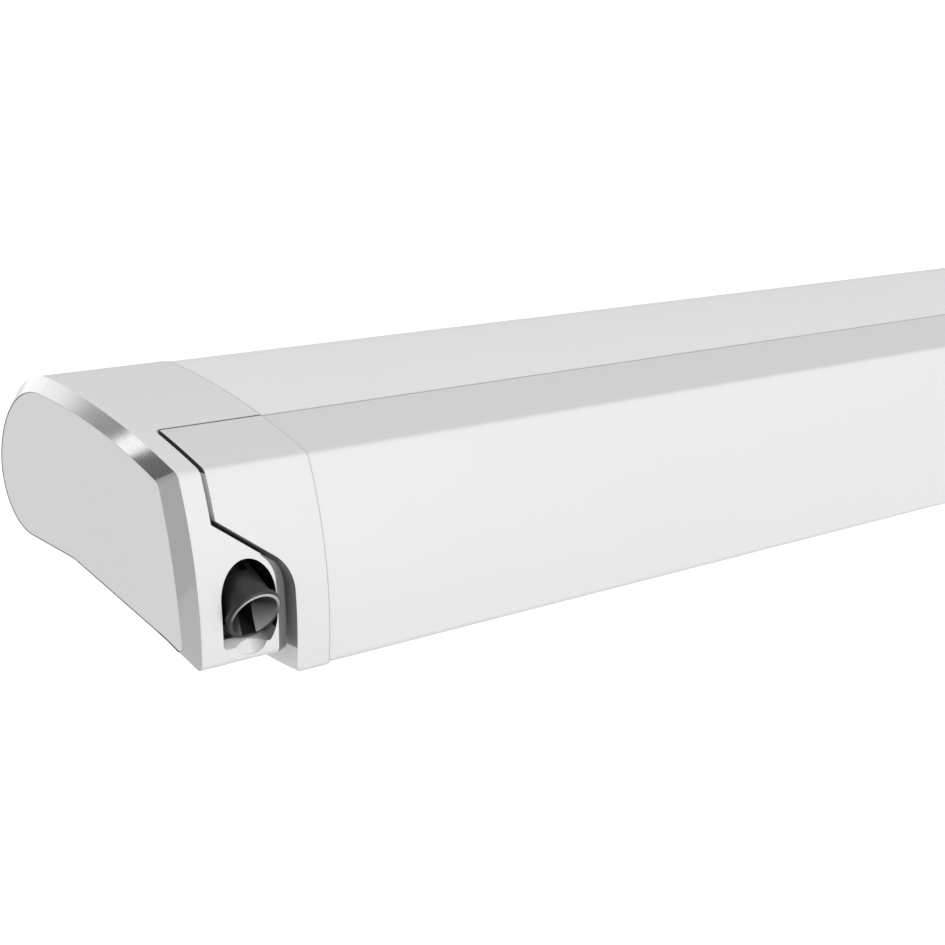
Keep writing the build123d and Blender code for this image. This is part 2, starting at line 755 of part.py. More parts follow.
# Elbow fork on the upper arm and the tongue on the forearm that turns in it
with BuildPart() as left_elbow_fork:
    with BuildSketch(arm_plane(-half_height)):
        block_x = arm_length - fork_web_gap - bracket_wall / 2
        knuckle_face(arm_length, -arm_offset, knuckle_radius, block_x, upper_y, bracket_wall)
        with Locations((block_x, upper_y)):
            Rectangle(block_x - tube_end, arm_tube_depth, align=(Align.MAX, Align.CENTER))
    extrude(amount=arm_tube_height)
    with BuildSketch(arm_plane(-tongue_end - lug_gap)):
        with Locations((arm_length - fork_web_gap, -arm_offset)):
            Rectangle(overrun, overrun + arm_tube_depth, align=(Align.MIN, Align.CENTER))
    extrude(amount=tongue_height + 2 * lug_gap, mode=Mode.SUBTRACT)
    tube_plug(tube_end, upper_y, -plug_length)
    pin_hole(arm_length, -arm_offset)
keep("left_elbow_fork", left_elbow_fork)
twin("right_elbow_fork", left_elbow_fork)

with BuildPart() as left_elbow_tongue:
    with BuildSketch(arm_plane(-tongue_end)):
        block_x = arm_length - tongue_web_gap - bracket_wall / 2
        knuckle_face(arm_length, -arm_offset, knuckle_radius, block_x, fore_y, bracket_wall)
    extrude(amount=tongue_height)
    with BuildSketch(arm_plane(-half_height)):
        with Locations((block_x, fore_y)):
            Rectangle(block_x - tube_end, arm_tube_depth, align=(Align.MAX, Align.CENTER))
    extrude(amount=arm_tube_height)
    tube_plug(tube_end, fore_y, -plug_length)
    pin_hole(arm_length, -arm_offset)
keep("left_elbow_tongue", left_elbow_tongue)
twin("right_elbow_tongue", left_elbow_tongue)

with BuildPart() as left_elbow_pin:
    with BuildSketch(arm_plane(-half_height)):
        with Locations((arm_length, -arm_offset)):
            Circle(arm_pin_radius)
    extrude(amount=arm_tube_height)
    for end in (-1, 1):
        with BuildSketch(arm_plane(end * half_height)):
            with Locations((arm_length, -arm_offset)):
                Circle(arm_pin_head)
        extrude(amount=end * arm_pin_head_thickness)
keep("left_elbow_pin", left_elbow_pin)
twin("right_elbow_pin", left_elbow_pin)

# Tension spring that lies inside each upper arm and pulls the arm straight
with BuildPart() as left_arm_spring:
    spring_at = arm_plane().from_local_coords(Vector(spring_end, upper_y, 0))
    with BuildSketch(Plane(origin=spring_at, x_dir=arm_plane().y_dir, z_dir=(1, 0, 0))):
        Circle(spring_radius)
        Circle(spring_radius - spring_wall, mode=Mode.SUBTRACT)
    extrude(amount=spring_length)
keep("left_arm_spring", left_arm_spring)
twin("right_arm_spring", left_arm_spring)

# Shoulder bracket, bolted to the casing floor behind the arm
lug_reach = knuckle_radius + 3 * lug_gap
with BuildPart() as left_shoulder_bracket:
    with BuildSketch(arm_plane(-half_height - lug_gap - lug_thickness)):
        knuckle_face(0, 0, lug_radius, 0, lug_reach + bracket_wall - arm_tube_depth / 2, 2 * lug_radius)
        with Locations((0, lug_reach)):
            Rectangle(bracket_width, bracket_wall, align=(Align.CENTER, Align.MIN))
    extrude(amount=arm_tube_height + 2 * (lug_gap + lug_thickness))
    with BuildSketch(arm_plane(-half_height - lug_gap)):
        with Locations((0, lug_reach)):
            Rectangle(bracket_width, overrun, align=(Align.CENTER, Align.MAX))
    extrude(amount=arm_tube_height + 2 * lug_gap, mode=Mode.SUBTRACT)
    pin_hole(0, 0)
    with BuildSketch(arm_plane(-half_height - lug_gap - lug_thickness - arm_pin_head_thickness)):
        with Locations((0, lug_reach + bracket_wall)):
            Rectangle(bracket_width, bracket_foot, align=(Align.CENTER, Align.MAX))
    extrude(amount=-overrun)
    with BuildSketch(arm_plane(-half_height - lug_gap - lug_thickness)):
        with Locations((0, lug_reach)):
            Rectangle(bracket_width, bracket_wall, align=(Align.CENTER, Align.MIN))
    extrude(amount=-overrun / 2)
    with BuildSketch(section(left_end)):
        outline_face(cap_outline_shares, profile_step, casing_wall)
    extrude(amount=overall_length / 2, mode=Mode.INTERSECT)
keep("left_shoulder_bracket", left_shoulder_bracket)
twin("right_shoulder_bracket", left_shoulder_bracket)

shoulder_pins = hinge_pin([(0, 0)])
with BuildPart() as both_shoulder_pins:
    add(shoulder_pins.part.solids())
    mirror(shoulder_pins.part.solids(), about=Plane.YZ)
keep("shoulder_pins", both_shoulder_pins)

# Wrist bracket, bolted to the back of the lead rail
plate_face = rail_web_place + rail_wall
wrist_point = arm_plane().from_local_coords(Vector(0, wrist_y, 0))
with BuildPart() as left_wrist_bracket:
    with BuildSketch(arm_plane(-half_height - lug_gap - lug_thickness)):
        knuckle_face(0, wrist_y, lug_radius, 0, wrist_y - overrun / 2, 2 * lug_radius)
    extrude(amount=arm_tube_height + 2 * (lug_gap + lug_thickness))
    with BuildSketch(arm_plane(-half_height - lug_gap)):
        with Locations((0, wrist_y)):
            Rectangle(bracket_width, 2 * overrun)
    extrude(amount=arm_tube_height + 2 * lug_gap, mode=Mode.SUBTRACT)
    pin_hole(0, wrist_y)
    with BuildSketch(front_view(plate_face + wrist_plate_thickness)):
        with Locations((arm_end_room, wrist_point.Z + seat_z)):
            RectangleRounded(wrist_plate_width, wrist_plate_height, lug_thickness)
    extrude(amount=wrist_plate_thickness)
    with BuildSketch(front_view(plate_face)):
        with Locations((arm_end_room, 0)):
            Rectangle(2 * cap_length, 2 * front_reach)
    extrude(amount=overrun, mode=Mode.SUBTRACT)
keep("left_wrist_bracket", left_wrist_bracket)
twin("right_wrist_bracket", left_wrist_bracket)

wrist_pins = hinge_pin([(0, wrist_y)])
with BuildPart() as both_wrist_pins:
    add(wrist_pins.part.solids())
    mirror(wrist_pins.part.solids(), about=Plane.YZ)
keep("wrist_pins", both_wrist_pins)

# Worm shaft and wheel, which turn the roller from the crank
crank_way = Vector(-crank_plane().z_dir.Y, -crank_plane().z_dir.Z)
mouth_to_roller = Vector(*roller_place) - Vector(*crank_mouth)
worm_place = mouth_to_roller.dot(crank_way)
gear_distance = (mouth_to_roller - crank_way * worm_place).length
gear_start = trim_depth + cap_wall
wheel_tip = wheel_radius + wheel_module
wheel_root = wheel_radius - tooth_root_share * wheel_module
wheel_start = crank_place - wheel_width / 2
with BuildPart() as worm_wheel:
    with BuildSketch(across(roller_place, left_end + wheel_start)):
        Circle(wheel_root)
        with PolarLocations(wheel_root - wheel_module, wheel_teeth):
            Trapezoid(
                tooth_root_width, wheel_tip - wheel_root + wheel_module, tooth_angle,
                rotation=-90, align=(Align.CENTER, Align.MIN)
            )
    extrude(amount=wheel_width)
    with BuildSketch(across(roller_place, left_end + gear_start + gear_side_gap)):
        Circle(journal_radius)
    extrude(amount=roller_cap_gap + journal_radius + wheel_tip)
    with BuildSketch(across(roller_place, left_end + wheel_start + wheel_width)):
        RegularPolygon(journal_radius - running_gap, drive_sides)
    extrude(amount=drive_length)
keep("worm_wheel", worm_wheel)

# Crank shaft with its worm, held in the gear box and in the shroud
with BuildPart() as crank_shaft:
    with BuildSketch(crank_plane(worm_place + worm_length)):
        Circle(crank_shaft_radius)
    extrude(amount=worm_place + worm_length - eyelet_depth)
    with BuildSketch(crank_plane(worm_place + worm_length - gear_wall - gear_side_gap)):
        Circle(crank_collar_radius)
    extrude(amount=crank_collar_thickness)
keep("crank_shaft", crank_shaft)

# Gear box, a housing round the wheel and the worm with a round cover
wheel_bore = wheel_tip + gear_side_gap
worm_bore = gear_distance - wheel_radius + wheel_module + gear_side_gap
cover_place = wheel_start + wheel_width + gear_side_gap
with BuildPart() as gearbox_housing:
    with BuildSketch(across(roller_place, left_end + gear_start)):
        Circle(wheel_bore + gear_wall)
    extrude(amount=cover_place - gear_start)
    with BuildSketch(crank_plane(worm_place + worm_length)):
        Circle(worm_bore + gear_wall)
    extrude(amount=2 * worm_length)
    with BuildSketch(section(left_end + gear_start)):
        outline_face(cap_outline_shares, inset=cap_wall)
        with Locations((rib_place - front_reach / 2, 0)):
            Rectangle(front_reach, 2 * front_reach, mode=Mode.SUBTRACT)
        with Locations(*screw_ports):
            Circle(screw_port_radius + profile_step + joint_gap, mode=Mode.SUBTRACT)
    extrude(amount=gear_wall)
    with BuildSketch(across(roller_place, left_end + wheel_start - gear_side_gap)):
        Circle(wheel_bore)
    extrude(amount=cover_place - wheel_start + gear_side_gap, mode=Mode.SUBTRACT)
    with BuildSketch(crank_plane(worm_place + worm_length - gear_wall)):
        Circle(worm_bore)
    extrude(amount=2 * worm_length - 2 * gear_wall, mode=Mode.SUBTRACT)
    with BuildSketch(crank_plane(worm_place + 2 * worm_length)):
        Circle(crank_shaft_radius + running_gap)
    extrude(amount=4 * worm_length, mode=Mode.SUBTRACT)
    with BuildSketch(across(roller_place, left_end)):
        Circle(journal_radius + running_gap)
    extrude(amount=cap_length, mode=Mode.SUBTRACT)
    with BuildSketch(section(left_end + gear_start)):
        outline_face(cap_outline_shares, inset=cap_wall)
    extrude(amount=cap_length, mode=Mode.INTERSECT)
keep("gearbox_housing", gearbox_housing)

with BuildPart() as gearbox_cover:
    with BuildSketch(across(roller_place, left_end + cover_place)):
        Circle(wheel_bore + gear_wall)
        Circle(journal_radius + running_gap, mode=Mode.SUBTRACT)
    extrude(amount=gear_cover_thickness)
    with BuildSketch(across(roller_place, left_end + cover_place + gear_cover_thickness)):
        Circle(journal_radius + gear_wall)
        Circle(journal_radius + running_gap, mode=Mode.SUBTRACT)
    extrude(amount=gear_cover_thickness)
    with BuildSketch(crank_plane(worm_place + 2 * worm_length)):
        Circle(worm_bore + gear_wall + joint_gap)
    extrude(amount=4 * worm_length, mode=Mode.SUBTRACT)
keep("gearbox_cover", gearbox_cover)

# Bearing plate for the roller's free end
with BuildPart() as roller_bearing_plate:
    with BuildSketch(section(-left_end - bearing_plate_place)):
        outline_face(cap_outline_shares, inset=cap_wall)
        with Locations((rib_place - front_reach / 2, 0)):
            Rectangle(front_reach, 2 * front_reach, mode=Mode.SUBTRACT)
        with Locations(*screw_ports):
            Circle(screw_port_radius + profile_step + joint_gap, mode=Mode.SUBTRACT)
    extrude(amount=gear_wall)
    with BuildSketch(across(roller_place, -left_end - bearing_plate_place)):
        Circle(journal_radius + gear_wall)
    extrude(amount=3 * gear_wall)
    with BuildSketch(across(roller_place, -left_end - cap_length)):
        Circle(journal_radius + running_gap)
    extrude(amount=cap_length, mode=Mode.SUBTRACT)
keep("roller_bearing_plate", roller_bearing_plate)

# Crank eyelet, a cup with a funnel mouth and a slot for the crank's hook
mouth_plane = crank_plane()
cup_plane = Plane(origin=mouth_plane.origin, x_dir=mouth_plane.x_dir, z_dir=-mouth_plane.y_dir)
bar_centre = crank_plane(eyelet_funnel_depth + 2 * eyelet_bar_radius).from_local_coords(
    Vector(0, eyelet_bar_rise, 0)
)
cup_outline = [
    (eyelet_radius - eyelet_rim_round, 0), (eyelet_radius, -eyelet_rim_round),
    (eyelet_radius, -eyelet_rim_height), (eyelet_body_radius, -eyelet_rim_height),
    (eyelet_body_radius, -eyelet_depth), (0, -eyelet_depth), (0, gear_wall - eyelet_depth),
    (eyelet_bore_radius, gear_wall - eyelet_depth), (eyelet_bore_radius, -eyelet_funnel_depth),
    (eyelet_mouth_radius, 0),
]
with BuildPart() as crank_eyelet:
    with BuildSketch(cup_plane):
        with BuildLine():
            Polyline(*cup_outline, close=True)
        make_face()
    revolve(axis=Axis(mouth_plane.origin, mouth_plane.z_dir))
    with BuildSketch(crank_plane(eyelet_depth - gear_wall)):
        with Locations((0, -eyelet_mouth_radius / 2)):
            Rectangle(eyelet_slot_width, eyelet_mouth_radius)
    extrude(amount=eyelet_depth, mode=Mode.SUBTRACT)
    with BuildSketch(crank_plane(eyelet_depth)):
        with PolarLocations(eyelet_body_radius, eyelet_windows):
            Rectangle(eyelet_body_radius - eyelet_bore_radius, eyelet_window_width)
    extrude(amount=eyelet_window_height, mode=Mode.SUBTRACT)
    with BuildSketch(Plane(origin=bar_centre, x_dir=mouth_plane.y_dir, z_dir=mouth_plane.x_dir)):
        Circle(eyelet_bar_radius)
    extrude(amount=eyelet_bore_radius + eyelet_bar_radius, both=True)
keep("crank_eyelet", crank_eyelet)

# Support legs, hinged at the lead rail's ends and stowed in its channel
leg_y = channel_middle - leg_lane
leg_place = (leg_y, -leg_drop)
leg_pivot = left_end + leg_end_room
leg_head_end = leg_pivot + leg_height


def opposite(label, builder):
    """Makes the same leg piece for the other leg, half a turn round the channel's middle."""
    middle = Axis((0, channel_middle - seat_y, 0), (0, 0, 1))
    with BuildPart() as other:
        add(builder.part.rotate(middle, half_turn).solids())
    keep(label, other)



def leg_tube_face(gap):
    """The oval section of a leg tube, drawn in by a gap."""
    RectangleRounded(leg_width - 2 * gap, leg_height - 2 * gap, leg_radius - gap)


with BuildPart() as left_leg_tube:
    with BuildSketch(across(leg_place, leg_head_end)):
        leg_tube_face(0)
        offset(amount=-leg_wall, mode=Mode.SUBTRACT)
    extrude(amount=leg_length - leg_height)
keep("left_leg_tube", left_leg_tube)
opposite("right_leg_tube", left_leg_tube)

leg_eye = leg_height / 2 - leg_fit
with BuildPart() as left_leg_head:
    with BuildSketch(front_view(leg_y + leg_width / 2 - leg_ear)):
        with Locations((leg_end_room, -leg_drop)):
            Circle(leg_eye)
            Rectangle(leg_height, 2 * leg_eye, align=(Align.MIN, Align.CENTER))
            Circle(leg_pin_radius + running_gap, mode=Mode.SUBTRACT)
    extrude(amount=leg_width - 2 * leg_ear)
    with BuildSketch(across(leg_place, leg_head_end)):
        leg_tube_face(leg_wall + running_gap)
    extrude(amount=leg_height)
keep("left_leg_head", left_leg_head)
opposite("right_leg_head", left_leg_head)

inner_start = leg_head_end + leg_height + leg_fit
inner_end = leg_pivot + leg_length + foot_length
with BuildPart() as left_leg_inner:
    with BuildSketch(across(leg_place, inner_start)):
        leg_tube_face(leg_wall + leg_fit)
        offset(amount=-leg_wall, mode=Mode.SUBTRACT)
    extrude(amount=inner_end - inner_start)
keep("left_leg_inner", left_leg_inner)
opposite("right_leg_inner", left_leg_inner)

with BuildPart() as left_leg_foot:
    with BuildSketch(across(leg_place, inner_end)):
        leg_tube_face(0)
    extrude(amount=foot_length)
    chamfer(left_leg_foot.edges().group_by(Axis.X)[-1], foot_flange / 2)
    with BuildSketch(across(leg_place, inner_end)):
        leg_tube_face(2 * leg_wall + leg_fit + running_gap)
    extrude(amount=-foot_length)
keep("left_leg_foot", left_leg_foot)
opposite("right_leg_foot", left_leg_foot)

with BuildPart() as left_leg_clamp:
    with BuildSketch(across(leg_place, leg_pivot + leg_length - leg_clamp_length)):
        with Locations((0, -leg_clamp_wall / 2)):
            RectangleRounded(
                leg_width + 2 * leg_clamp_wall, leg_height + 3 * leg_clamp_wall, leg_radius
            )
    extrude(amount=leg_clamp_length)
    with BuildSketch(across(leg_place, leg_pivot)):
        leg_tube_face(-running_gap)
    extrude(amount=2 * leg_length, mode=Mode.SUBTRACT)
keep("left_leg_clamp", left_leg_clamp)
opposite("right_leg_clamp", left_leg_clamp)

ear_gap = leg_width / 2 - leg_ear + leg_fit
with BuildPart() as left_leg_bracket:
    with BuildSketch(front_view(leg_y + ear_gap + leg_ear)):
        with Locations((leg_end_room, rail_channel_top)):
            Rectangle(leg_height, leg_drop + rail_channel_top, align=(Align.CENTER, Align.MAX))
        with Locations((leg_end_room, -leg_drop)):
            Circle(leg_eye)
    extrude(amount=2 * (ear_gap + leg_ear))
    with BuildSketch(front_view(leg_y + ear_gap)):
        with Locations((leg_end_room, rail_channel_top - leg_ear)):
            Rectangle(4 * leg_width, overrun, align=(Align.CENTER, Align.MAX))
    extrude(amount=2 * ear_gap, mode=Mode.SUBTRACT)
    with BuildSketch(front_view(leg_y + ear_gap + leg_ear)):
        with Locations((leg_end_room, -leg_drop)):
            Circle(leg_pin_radius)
    extrude(amount=2 * (ear_gap + leg_ear))
keep("left_leg_bracket", left_leg_bracket)
opposite("right_leg_bracket", left_leg_bracket)

# Spring clips that hold the stowed legs up in the channel
clip_inner = leg_width / 2 + leg_fit
clip_rise = leg_drop + rail_channel_top
with BuildPart() as leg_clips:
    for share in leg_clip_shares:
        for side in (-1, 1):
            lane = (channel_middle + side * leg_lane, -leg_drop)
            with BuildSketch(across(lane, side * share * half_profile)):
                with Locations((0, clip_rise)):
                    Rectangle(
                        2 * clip_inner + 2 * leg_clip_wall, clip_rise + leg_eye / 2,
                        align=(Align.CENTER, Align.MAX)
                    )
                with Locations((0, clip_rise - leg_clip_wall)):
                    Rectangle(
                        2 * clip_inner, overrun, align=(Align.CENTER, Align.MAX), mode=Mode.SUBTRACT
                    )
            extrude(amount=side * leg_clip_width)
keep("leg_clips", leg_clips)

# Screws under each trim band, through the cap's bosses into the casing's ports
screw_length = cap_length + cap_screw_grip - trim_depth
with BuildPart() as cap_screws:
    for side in (-1, 1):
        for port in screw_ports:
            head_plane = across(port, -side * (left_end + trim_depth + joint_gap))
            with BuildSketch(head_plane):
                Circle(cap_screw_radius - running_gap)
            extrude(amount=-side * screw_length)
            with BuildSketch(head_plane):
                Circle(cap_screw_head_radius)
            extrude(amount=-side * cap_screw_head)
keep("cap_screws", cap_screws)

for label, builder in pieces.items():
    builder.part.label = label
    export_step(builder.part, f"parts/{label}.step")
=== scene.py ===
import math

import bpy
from mathutils import Matrix, Vector


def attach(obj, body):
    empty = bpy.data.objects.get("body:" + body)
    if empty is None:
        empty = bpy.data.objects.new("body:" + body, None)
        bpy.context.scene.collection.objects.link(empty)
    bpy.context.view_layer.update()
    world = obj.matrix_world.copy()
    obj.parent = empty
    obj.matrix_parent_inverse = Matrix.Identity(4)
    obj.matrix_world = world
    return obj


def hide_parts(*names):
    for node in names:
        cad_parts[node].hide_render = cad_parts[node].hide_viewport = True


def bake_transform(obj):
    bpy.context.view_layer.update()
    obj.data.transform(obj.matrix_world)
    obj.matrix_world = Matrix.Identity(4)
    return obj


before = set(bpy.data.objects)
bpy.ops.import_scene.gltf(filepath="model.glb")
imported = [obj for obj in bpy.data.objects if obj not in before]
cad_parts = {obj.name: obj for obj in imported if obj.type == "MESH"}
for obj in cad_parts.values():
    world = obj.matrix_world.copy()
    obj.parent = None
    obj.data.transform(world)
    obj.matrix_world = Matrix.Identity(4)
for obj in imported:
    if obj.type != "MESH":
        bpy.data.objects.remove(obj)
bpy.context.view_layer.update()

# Camera
# Stands in front of the left end and a little above it, with the long view along the
# awning that the photograph has.
camera_place = Vector((-1.7628, -0.9372, 0.2807))
camera_right = Vector((0.7669, -0.6417, 0.0))
camera_forward = Vector((0.6254, 0.7474, -0.2244)).normalized()
camera_up = camera_right.cross(camera_forward).normalized()
camera_turn = Matrix((camera_right, camera_up, -camera_forward)).transposed().to_4x4()
camera_data = bpy.data.cameras.new("camera")
camera_data.lens = 68.57
camera_data.sensor_width = 36.0
camera_data.clip_end = 60.0
camera = bpy.data.objects.new("camera", camera_data)
bpy.context.scene.collection.objects.link(camera)
camera.matrix_world = Matrix.Translation(camera_place) @ camera_turn
bpy.context.scene.camera = camera
bpy.context.scene.view_settings.view_transform = "Standard"

# Studio
# A pale floor at the level where the opened legs' feet stand, in an evenly white room.
# A wide soft lamp far in front makes the front the brightest face, and a small one,
# which glossy faces don't mirror, lights the left end.
floor_height = -2.51
floor_size = 40.0
near_floor = 1.5
far_floor = 3.5
near_glow = 0.72
mirror_left_x = -1.9
mirror_right_x = -1.2
mirror_left_glow = 0.25


def grey(level, blue=0.0):
    """A grey colour, with a little more blue if asked."""
    return (level, level, level + blue, 1.0)


def node_tools(tree):
    """Empties a node tree. Gives a function that adds nodes and one that joins sockets."""
    tree.nodes.clear()

    def add(kind, inputs=None, **settings):
        node = tree.nodes.new(kind)
        for name, value in settings.items():
            setattr(node, name, value)
        for socket, value in (inputs or {}).items():
            node.inputs[socket].default_value = value
        return node

    def join(*pairs):
        for source, target in pairs:
            tree.links.new(source, target)

    return add, join


def new_material(name):
    """A material with an empty node tree, and the two functions of that tree."""
    material = bpy.data.materials.new(name)
    material.use_nodes = True
    return (material, *node_tools(material.node_tree))


# Floor: grey for the light that it throws back. A glow makes it white to the camera, a
# little less under the awning, and dimmer at the left in the awning's reflections.
bpy.ops.object.select_all(action="DESELECT")
bpy.ops.mesh.primitive_plane_add(size=floor_size, location=(0.0, 0.0, floor_height))
floor = bpy.context.object
floor.name = "floor"
floor_paint, add, join = new_material("floor_paint")
floor_out = add("ShaderNodeOutputMaterial")
floor_diffuse = add("ShaderNodeBsdfDiffuse", {"Color": grey(0.46)})
floor_glow = add("ShaderNodeEmission")
floor_sum = add("ShaderNodeAddShader")
floor_view = add("ShaderNodeLightPath")
floor_seen = add("ShaderNodeMath", operation="MAXIMUM")
floor_power = add("ShaderNodeMath", operation="MULTIPLY")
floor_place = add("ShaderNodeTexCoord")
floor_far = add("ShaderNodeVectorMath", operation="LENGTH")
floor_level = add("ShaderNodeMapRange",
                  {"From Min": near_floor, "From Max": far_floor, "To Min": near_glow})
floor_side = add("ShaderNodeSeparateXYZ")
floor_shine = add("ShaderNodeMapRange", {"From Min": mirror_left_x,
                                         "From Max": mirror_right_x,
                                         "To Min": mirror_left_glow})
floor_mirror = add("ShaderNodeMath", operation="MULTIPLY")
join(
    (floor_place.outputs["Object"], floor_side.inputs[0]),
    (floor_side.outputs["X"], floor_shine.inputs["Value"]),
    (floor_view.outputs["Is Glossy Ray"], floor_mirror.inputs[0]),
    (floor_shine.outputs["Result"], floor_mirror.inputs[1]),
    (floor_place.outputs["Object"], floor_far.inputs[0]),
    (floor_far.outputs["Value"], floor_level.inputs["Value"]),
    (floor_level.outputs["Result"], floor_power.inputs[1]),
    (floor_view.outputs["Is Camera Ray"], floor_seen.inputs[0]),
    (floor_mirror.outputs[0], floor_seen.inputs[1]),
    (floor_seen.outputs[0], floor_power.inputs[0]),
    (floor_power.outputs[0], floor_glow.inputs["Strength"]),
    (floor_diffuse.outputs[0], floor_sum.inputs[0]),
    (floor_glow.outputs[0], floor_sum.inputs[1]),
    (floor_sum.outputs[0], floor_out.inputs["Surface"]),
)
floor.data.materials.append(floor_paint)

# Room: white to the camera, a soft grey-white as a light, and pale and dark panels for
# glossy rays alone, which the chromed bands mirror. Each ramp is a row of positions and
# levels: the room's from floor to ceiling, the panels' from left to right.
room_light = 0.81
panel_light = 1.25
room_row = ((0.30, 0.95), (1.0, 0.80))
panel_row = (
    (0.0, 0.40), (0.18, 0.30), (0.236, 0.12), (0.268, 0.15), (0.274, 1.0), (0.294, 1.0),
    (0.299, 0.27), (0.314, 0.28), (0.331, 0.38), (0.344, 0.95), (0.52, 1.0), (0.58, 0.70),
    (1.0, 0.55),
)


def fill_ramp(ramp, row):
    """Gives a colour ramp a row of grey stops."""
    stops = ramp.color_ramp.elements
    while len(stops) < len(row):
        stops.new(1.0)
    for stop, (position, level) in zip(stops, row):
        stop.position = position
        stop.color = grey(level)


world = bpy.data.worlds.new("studio")
bpy.context.scene.world = world
world.use_nodes = True
add, join = node_tools(world.node_tree)
world_out = add("ShaderNodeOutputWorld")
room = add("ShaderNodeBackground", {"Strength": room_light})
backdrop = add("ShaderNodeBackground", {"Color": grey(1.0), "Strength": 1.0})
panels = add("ShaderNodeBackground", {"Strength": panel_light})
room_path = add("ShaderNodeLightPath")
room_seen = add("ShaderNodeMath", operation="MAXIMUM")
room_way = add("ShaderNodeTexCoord")
room_split = add("ShaderNodeSeparateXYZ")
room_scale = add("ShaderNodeMapRange", {"From Min": -1.0})
room_ramp = add("ShaderNodeValToRGB")
panel_scale = add("ShaderNodeMapRange", {"From Min": -1.0})
panel_ramp = add("ShaderNodeValToRGB")
panel_mix = add("ShaderNodeMixShader")
room_mix = add("ShaderNodeMixShader")
fill_ramp(room_ramp, room_row)
fill_ramp(panel_ramp, panel_row)
join(
    (room_way.outputs["Generated"], room_split.inputs[0]),
    (room_split.outputs["X"], panel_scale.inputs["Value"]),
    (panel_scale.outputs[0], panel_ramp.inputs[0]),
    (panel_ramp.outputs[0], panels.inputs["Color"]),
    (room_split.outputs["Z"], room_scale.inputs["Value"]),
    (room_scale.outputs[0], room_ramp.inputs[0]),
    (room_ramp.outputs[0], room.inputs["Color"]),
    (room_path.outputs["Is Glossy Ray"], panel_mix.inputs[0]),
    (room.outputs[0], panel_mix.inputs[1]),
    (panels.outputs[0], panel_mix.inputs[2]),
    (room_path.outputs["Is Camera Ray"], room_seen.inputs[0]),
    (room_path.outputs["Is Transmission Ray"], room_seen.inputs[1]),
    (room_seen.outputs[0], room_mix.inputs[0]),
    (panel_mix.outputs[0], room_mix.inputs[1]),
    (backdrop.outputs[0], room_mix.inputs[2]),
    (room_mix.outputs[0], world_out.inputs["Surface"]),
)


def soft_lamp(name, place, target, size, power):
    """A square studio lamp turned to a target."""
    lamp_data = bpy.data.lights.new(name, "AREA")
    lamp_data.size = size
    lamp_data.energy = power
    lamp = bpy.data.objects.new(name, lamp_data)
    bpy.context.scene.collection.objects.link(lamp)
    lamp.location = place
    lamp.rotation_euler = (Vector(target) - Vector(place)).to_track_quat("-Z", "Y").to_euler()
    return lamp


soft_lamp("front_lamp", place=(3.37, -19.73, 3.10), target=(0.0, -0.15, 0.0), size=14.6,
          power=1600.0)
end_lamp = soft_lamp("end_lamp", place=(-4.2, 0.3, 0.1), target=(-1.3, 0.0, 0.0), size=2.0,
                     power=19.0)
end_lamp.visible_glossy = False

# Painted casing, lead rail and arms
# Aluminium extrusions and tubes in white powder coat: an even satin white with a very
# fine orange peel. The rail's upper ledge, which faces up, is painted greyer as painted
# shade, and its rear edge, which closes against the casing, is the dark line of the joint.
casing_white = grey(0.92)
rail_white = grey(0.93)
ledge_painted_shade = grey(0.74)
rail_seam_grey = grey(0.42)
arm_grey = grey(0.80)
ledge_shade_start = 0.62
ledge_shade_slope = 4.0
rail_seam_y = -0.0900
seam_foot_z = 0.05


def shade(colour, share):
    """A colour made darker."""
    return tuple(channel * share for channel in colour[:3]) + (1.0,)


def lay_on(tools, colour, shade_share, gloss, blotches, grain, grain_depth, **values):
    """The surface of a finish: blotches vary its colour and gloss, and grain its relief."""
    add, join = tools
    out = add("ShaderNodeOutputMaterial")
    surface = add("ShaderNodeBsdfPrincipled",
                  {name.replace("_", " "): value for name, value in values.items()})
    tint = add("ShaderNodeMix", {"A": colour, "B": shade(colour, shade_share)},
               data_type="RGBA")
    sheen = add("ShaderNodeMapRange", {"To Min": gloss[0], "To Max": gloss[1]})
    relief = add("ShaderNodeBump", {"Strength": grain_depth, "Distance": 0.0001})
    join(
        (blotches, tint.inputs["Factor"]),
        (tint.outputs["Result"], surface.inputs["Base Color"]),
        (blotches, sheen.inputs["Value"]),
        (sheen.outputs["Result"], surface.inputs["Roughness"]),
        (grain, relief.inputs["Height"]),
        (relief.outputs["Normal"], surface.inputs["Normal"]),
        (surface.outputs["BSDF"], out.inputs["Surface"]),
    )


def powder_coat(name, colour, roughness, peel):
    """Satin paint: colour with faint cloudiness, and a fine orange peel."""
    material, *tools = new_material(name)
    add, join = tools
    place = add("ShaderNodeTexCoord")
    cloud = add("ShaderNodeTexNoise", {"Scale": 9.0, "Detail": 2.0})
    orange_peel = add("ShaderNodeTexNoise", {"Scale": 1400.0, "Detail": 2.0})
    join(
        (place.outputs["Object"], cloud.inputs["Vector"]),
        (place.outputs["Object"], orange_peel.inputs["Vector"]),
    )
    lay_on(tools, colour, shade_share=0.975, gloss=(roughness - 0.04, roughness + 0.05),
           blotches=cloud.outputs["Fac"], grain=orange_peel.outputs["Fac"], grain_depth=peel,
           Specular_IOR_Level=0.45)
    return material


def dress(material, *names):
    """Gives CAD nodes a finish of their own."""
    for name in names:
        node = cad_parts[name]
        node.data.materials.clear()
        node.data.materials.append(material)


def principled(material):
    """The surface node of a finish."""
    return next(node for node in material.node_tree.nodes if node.type == "BSDF_PRINCIPLED")


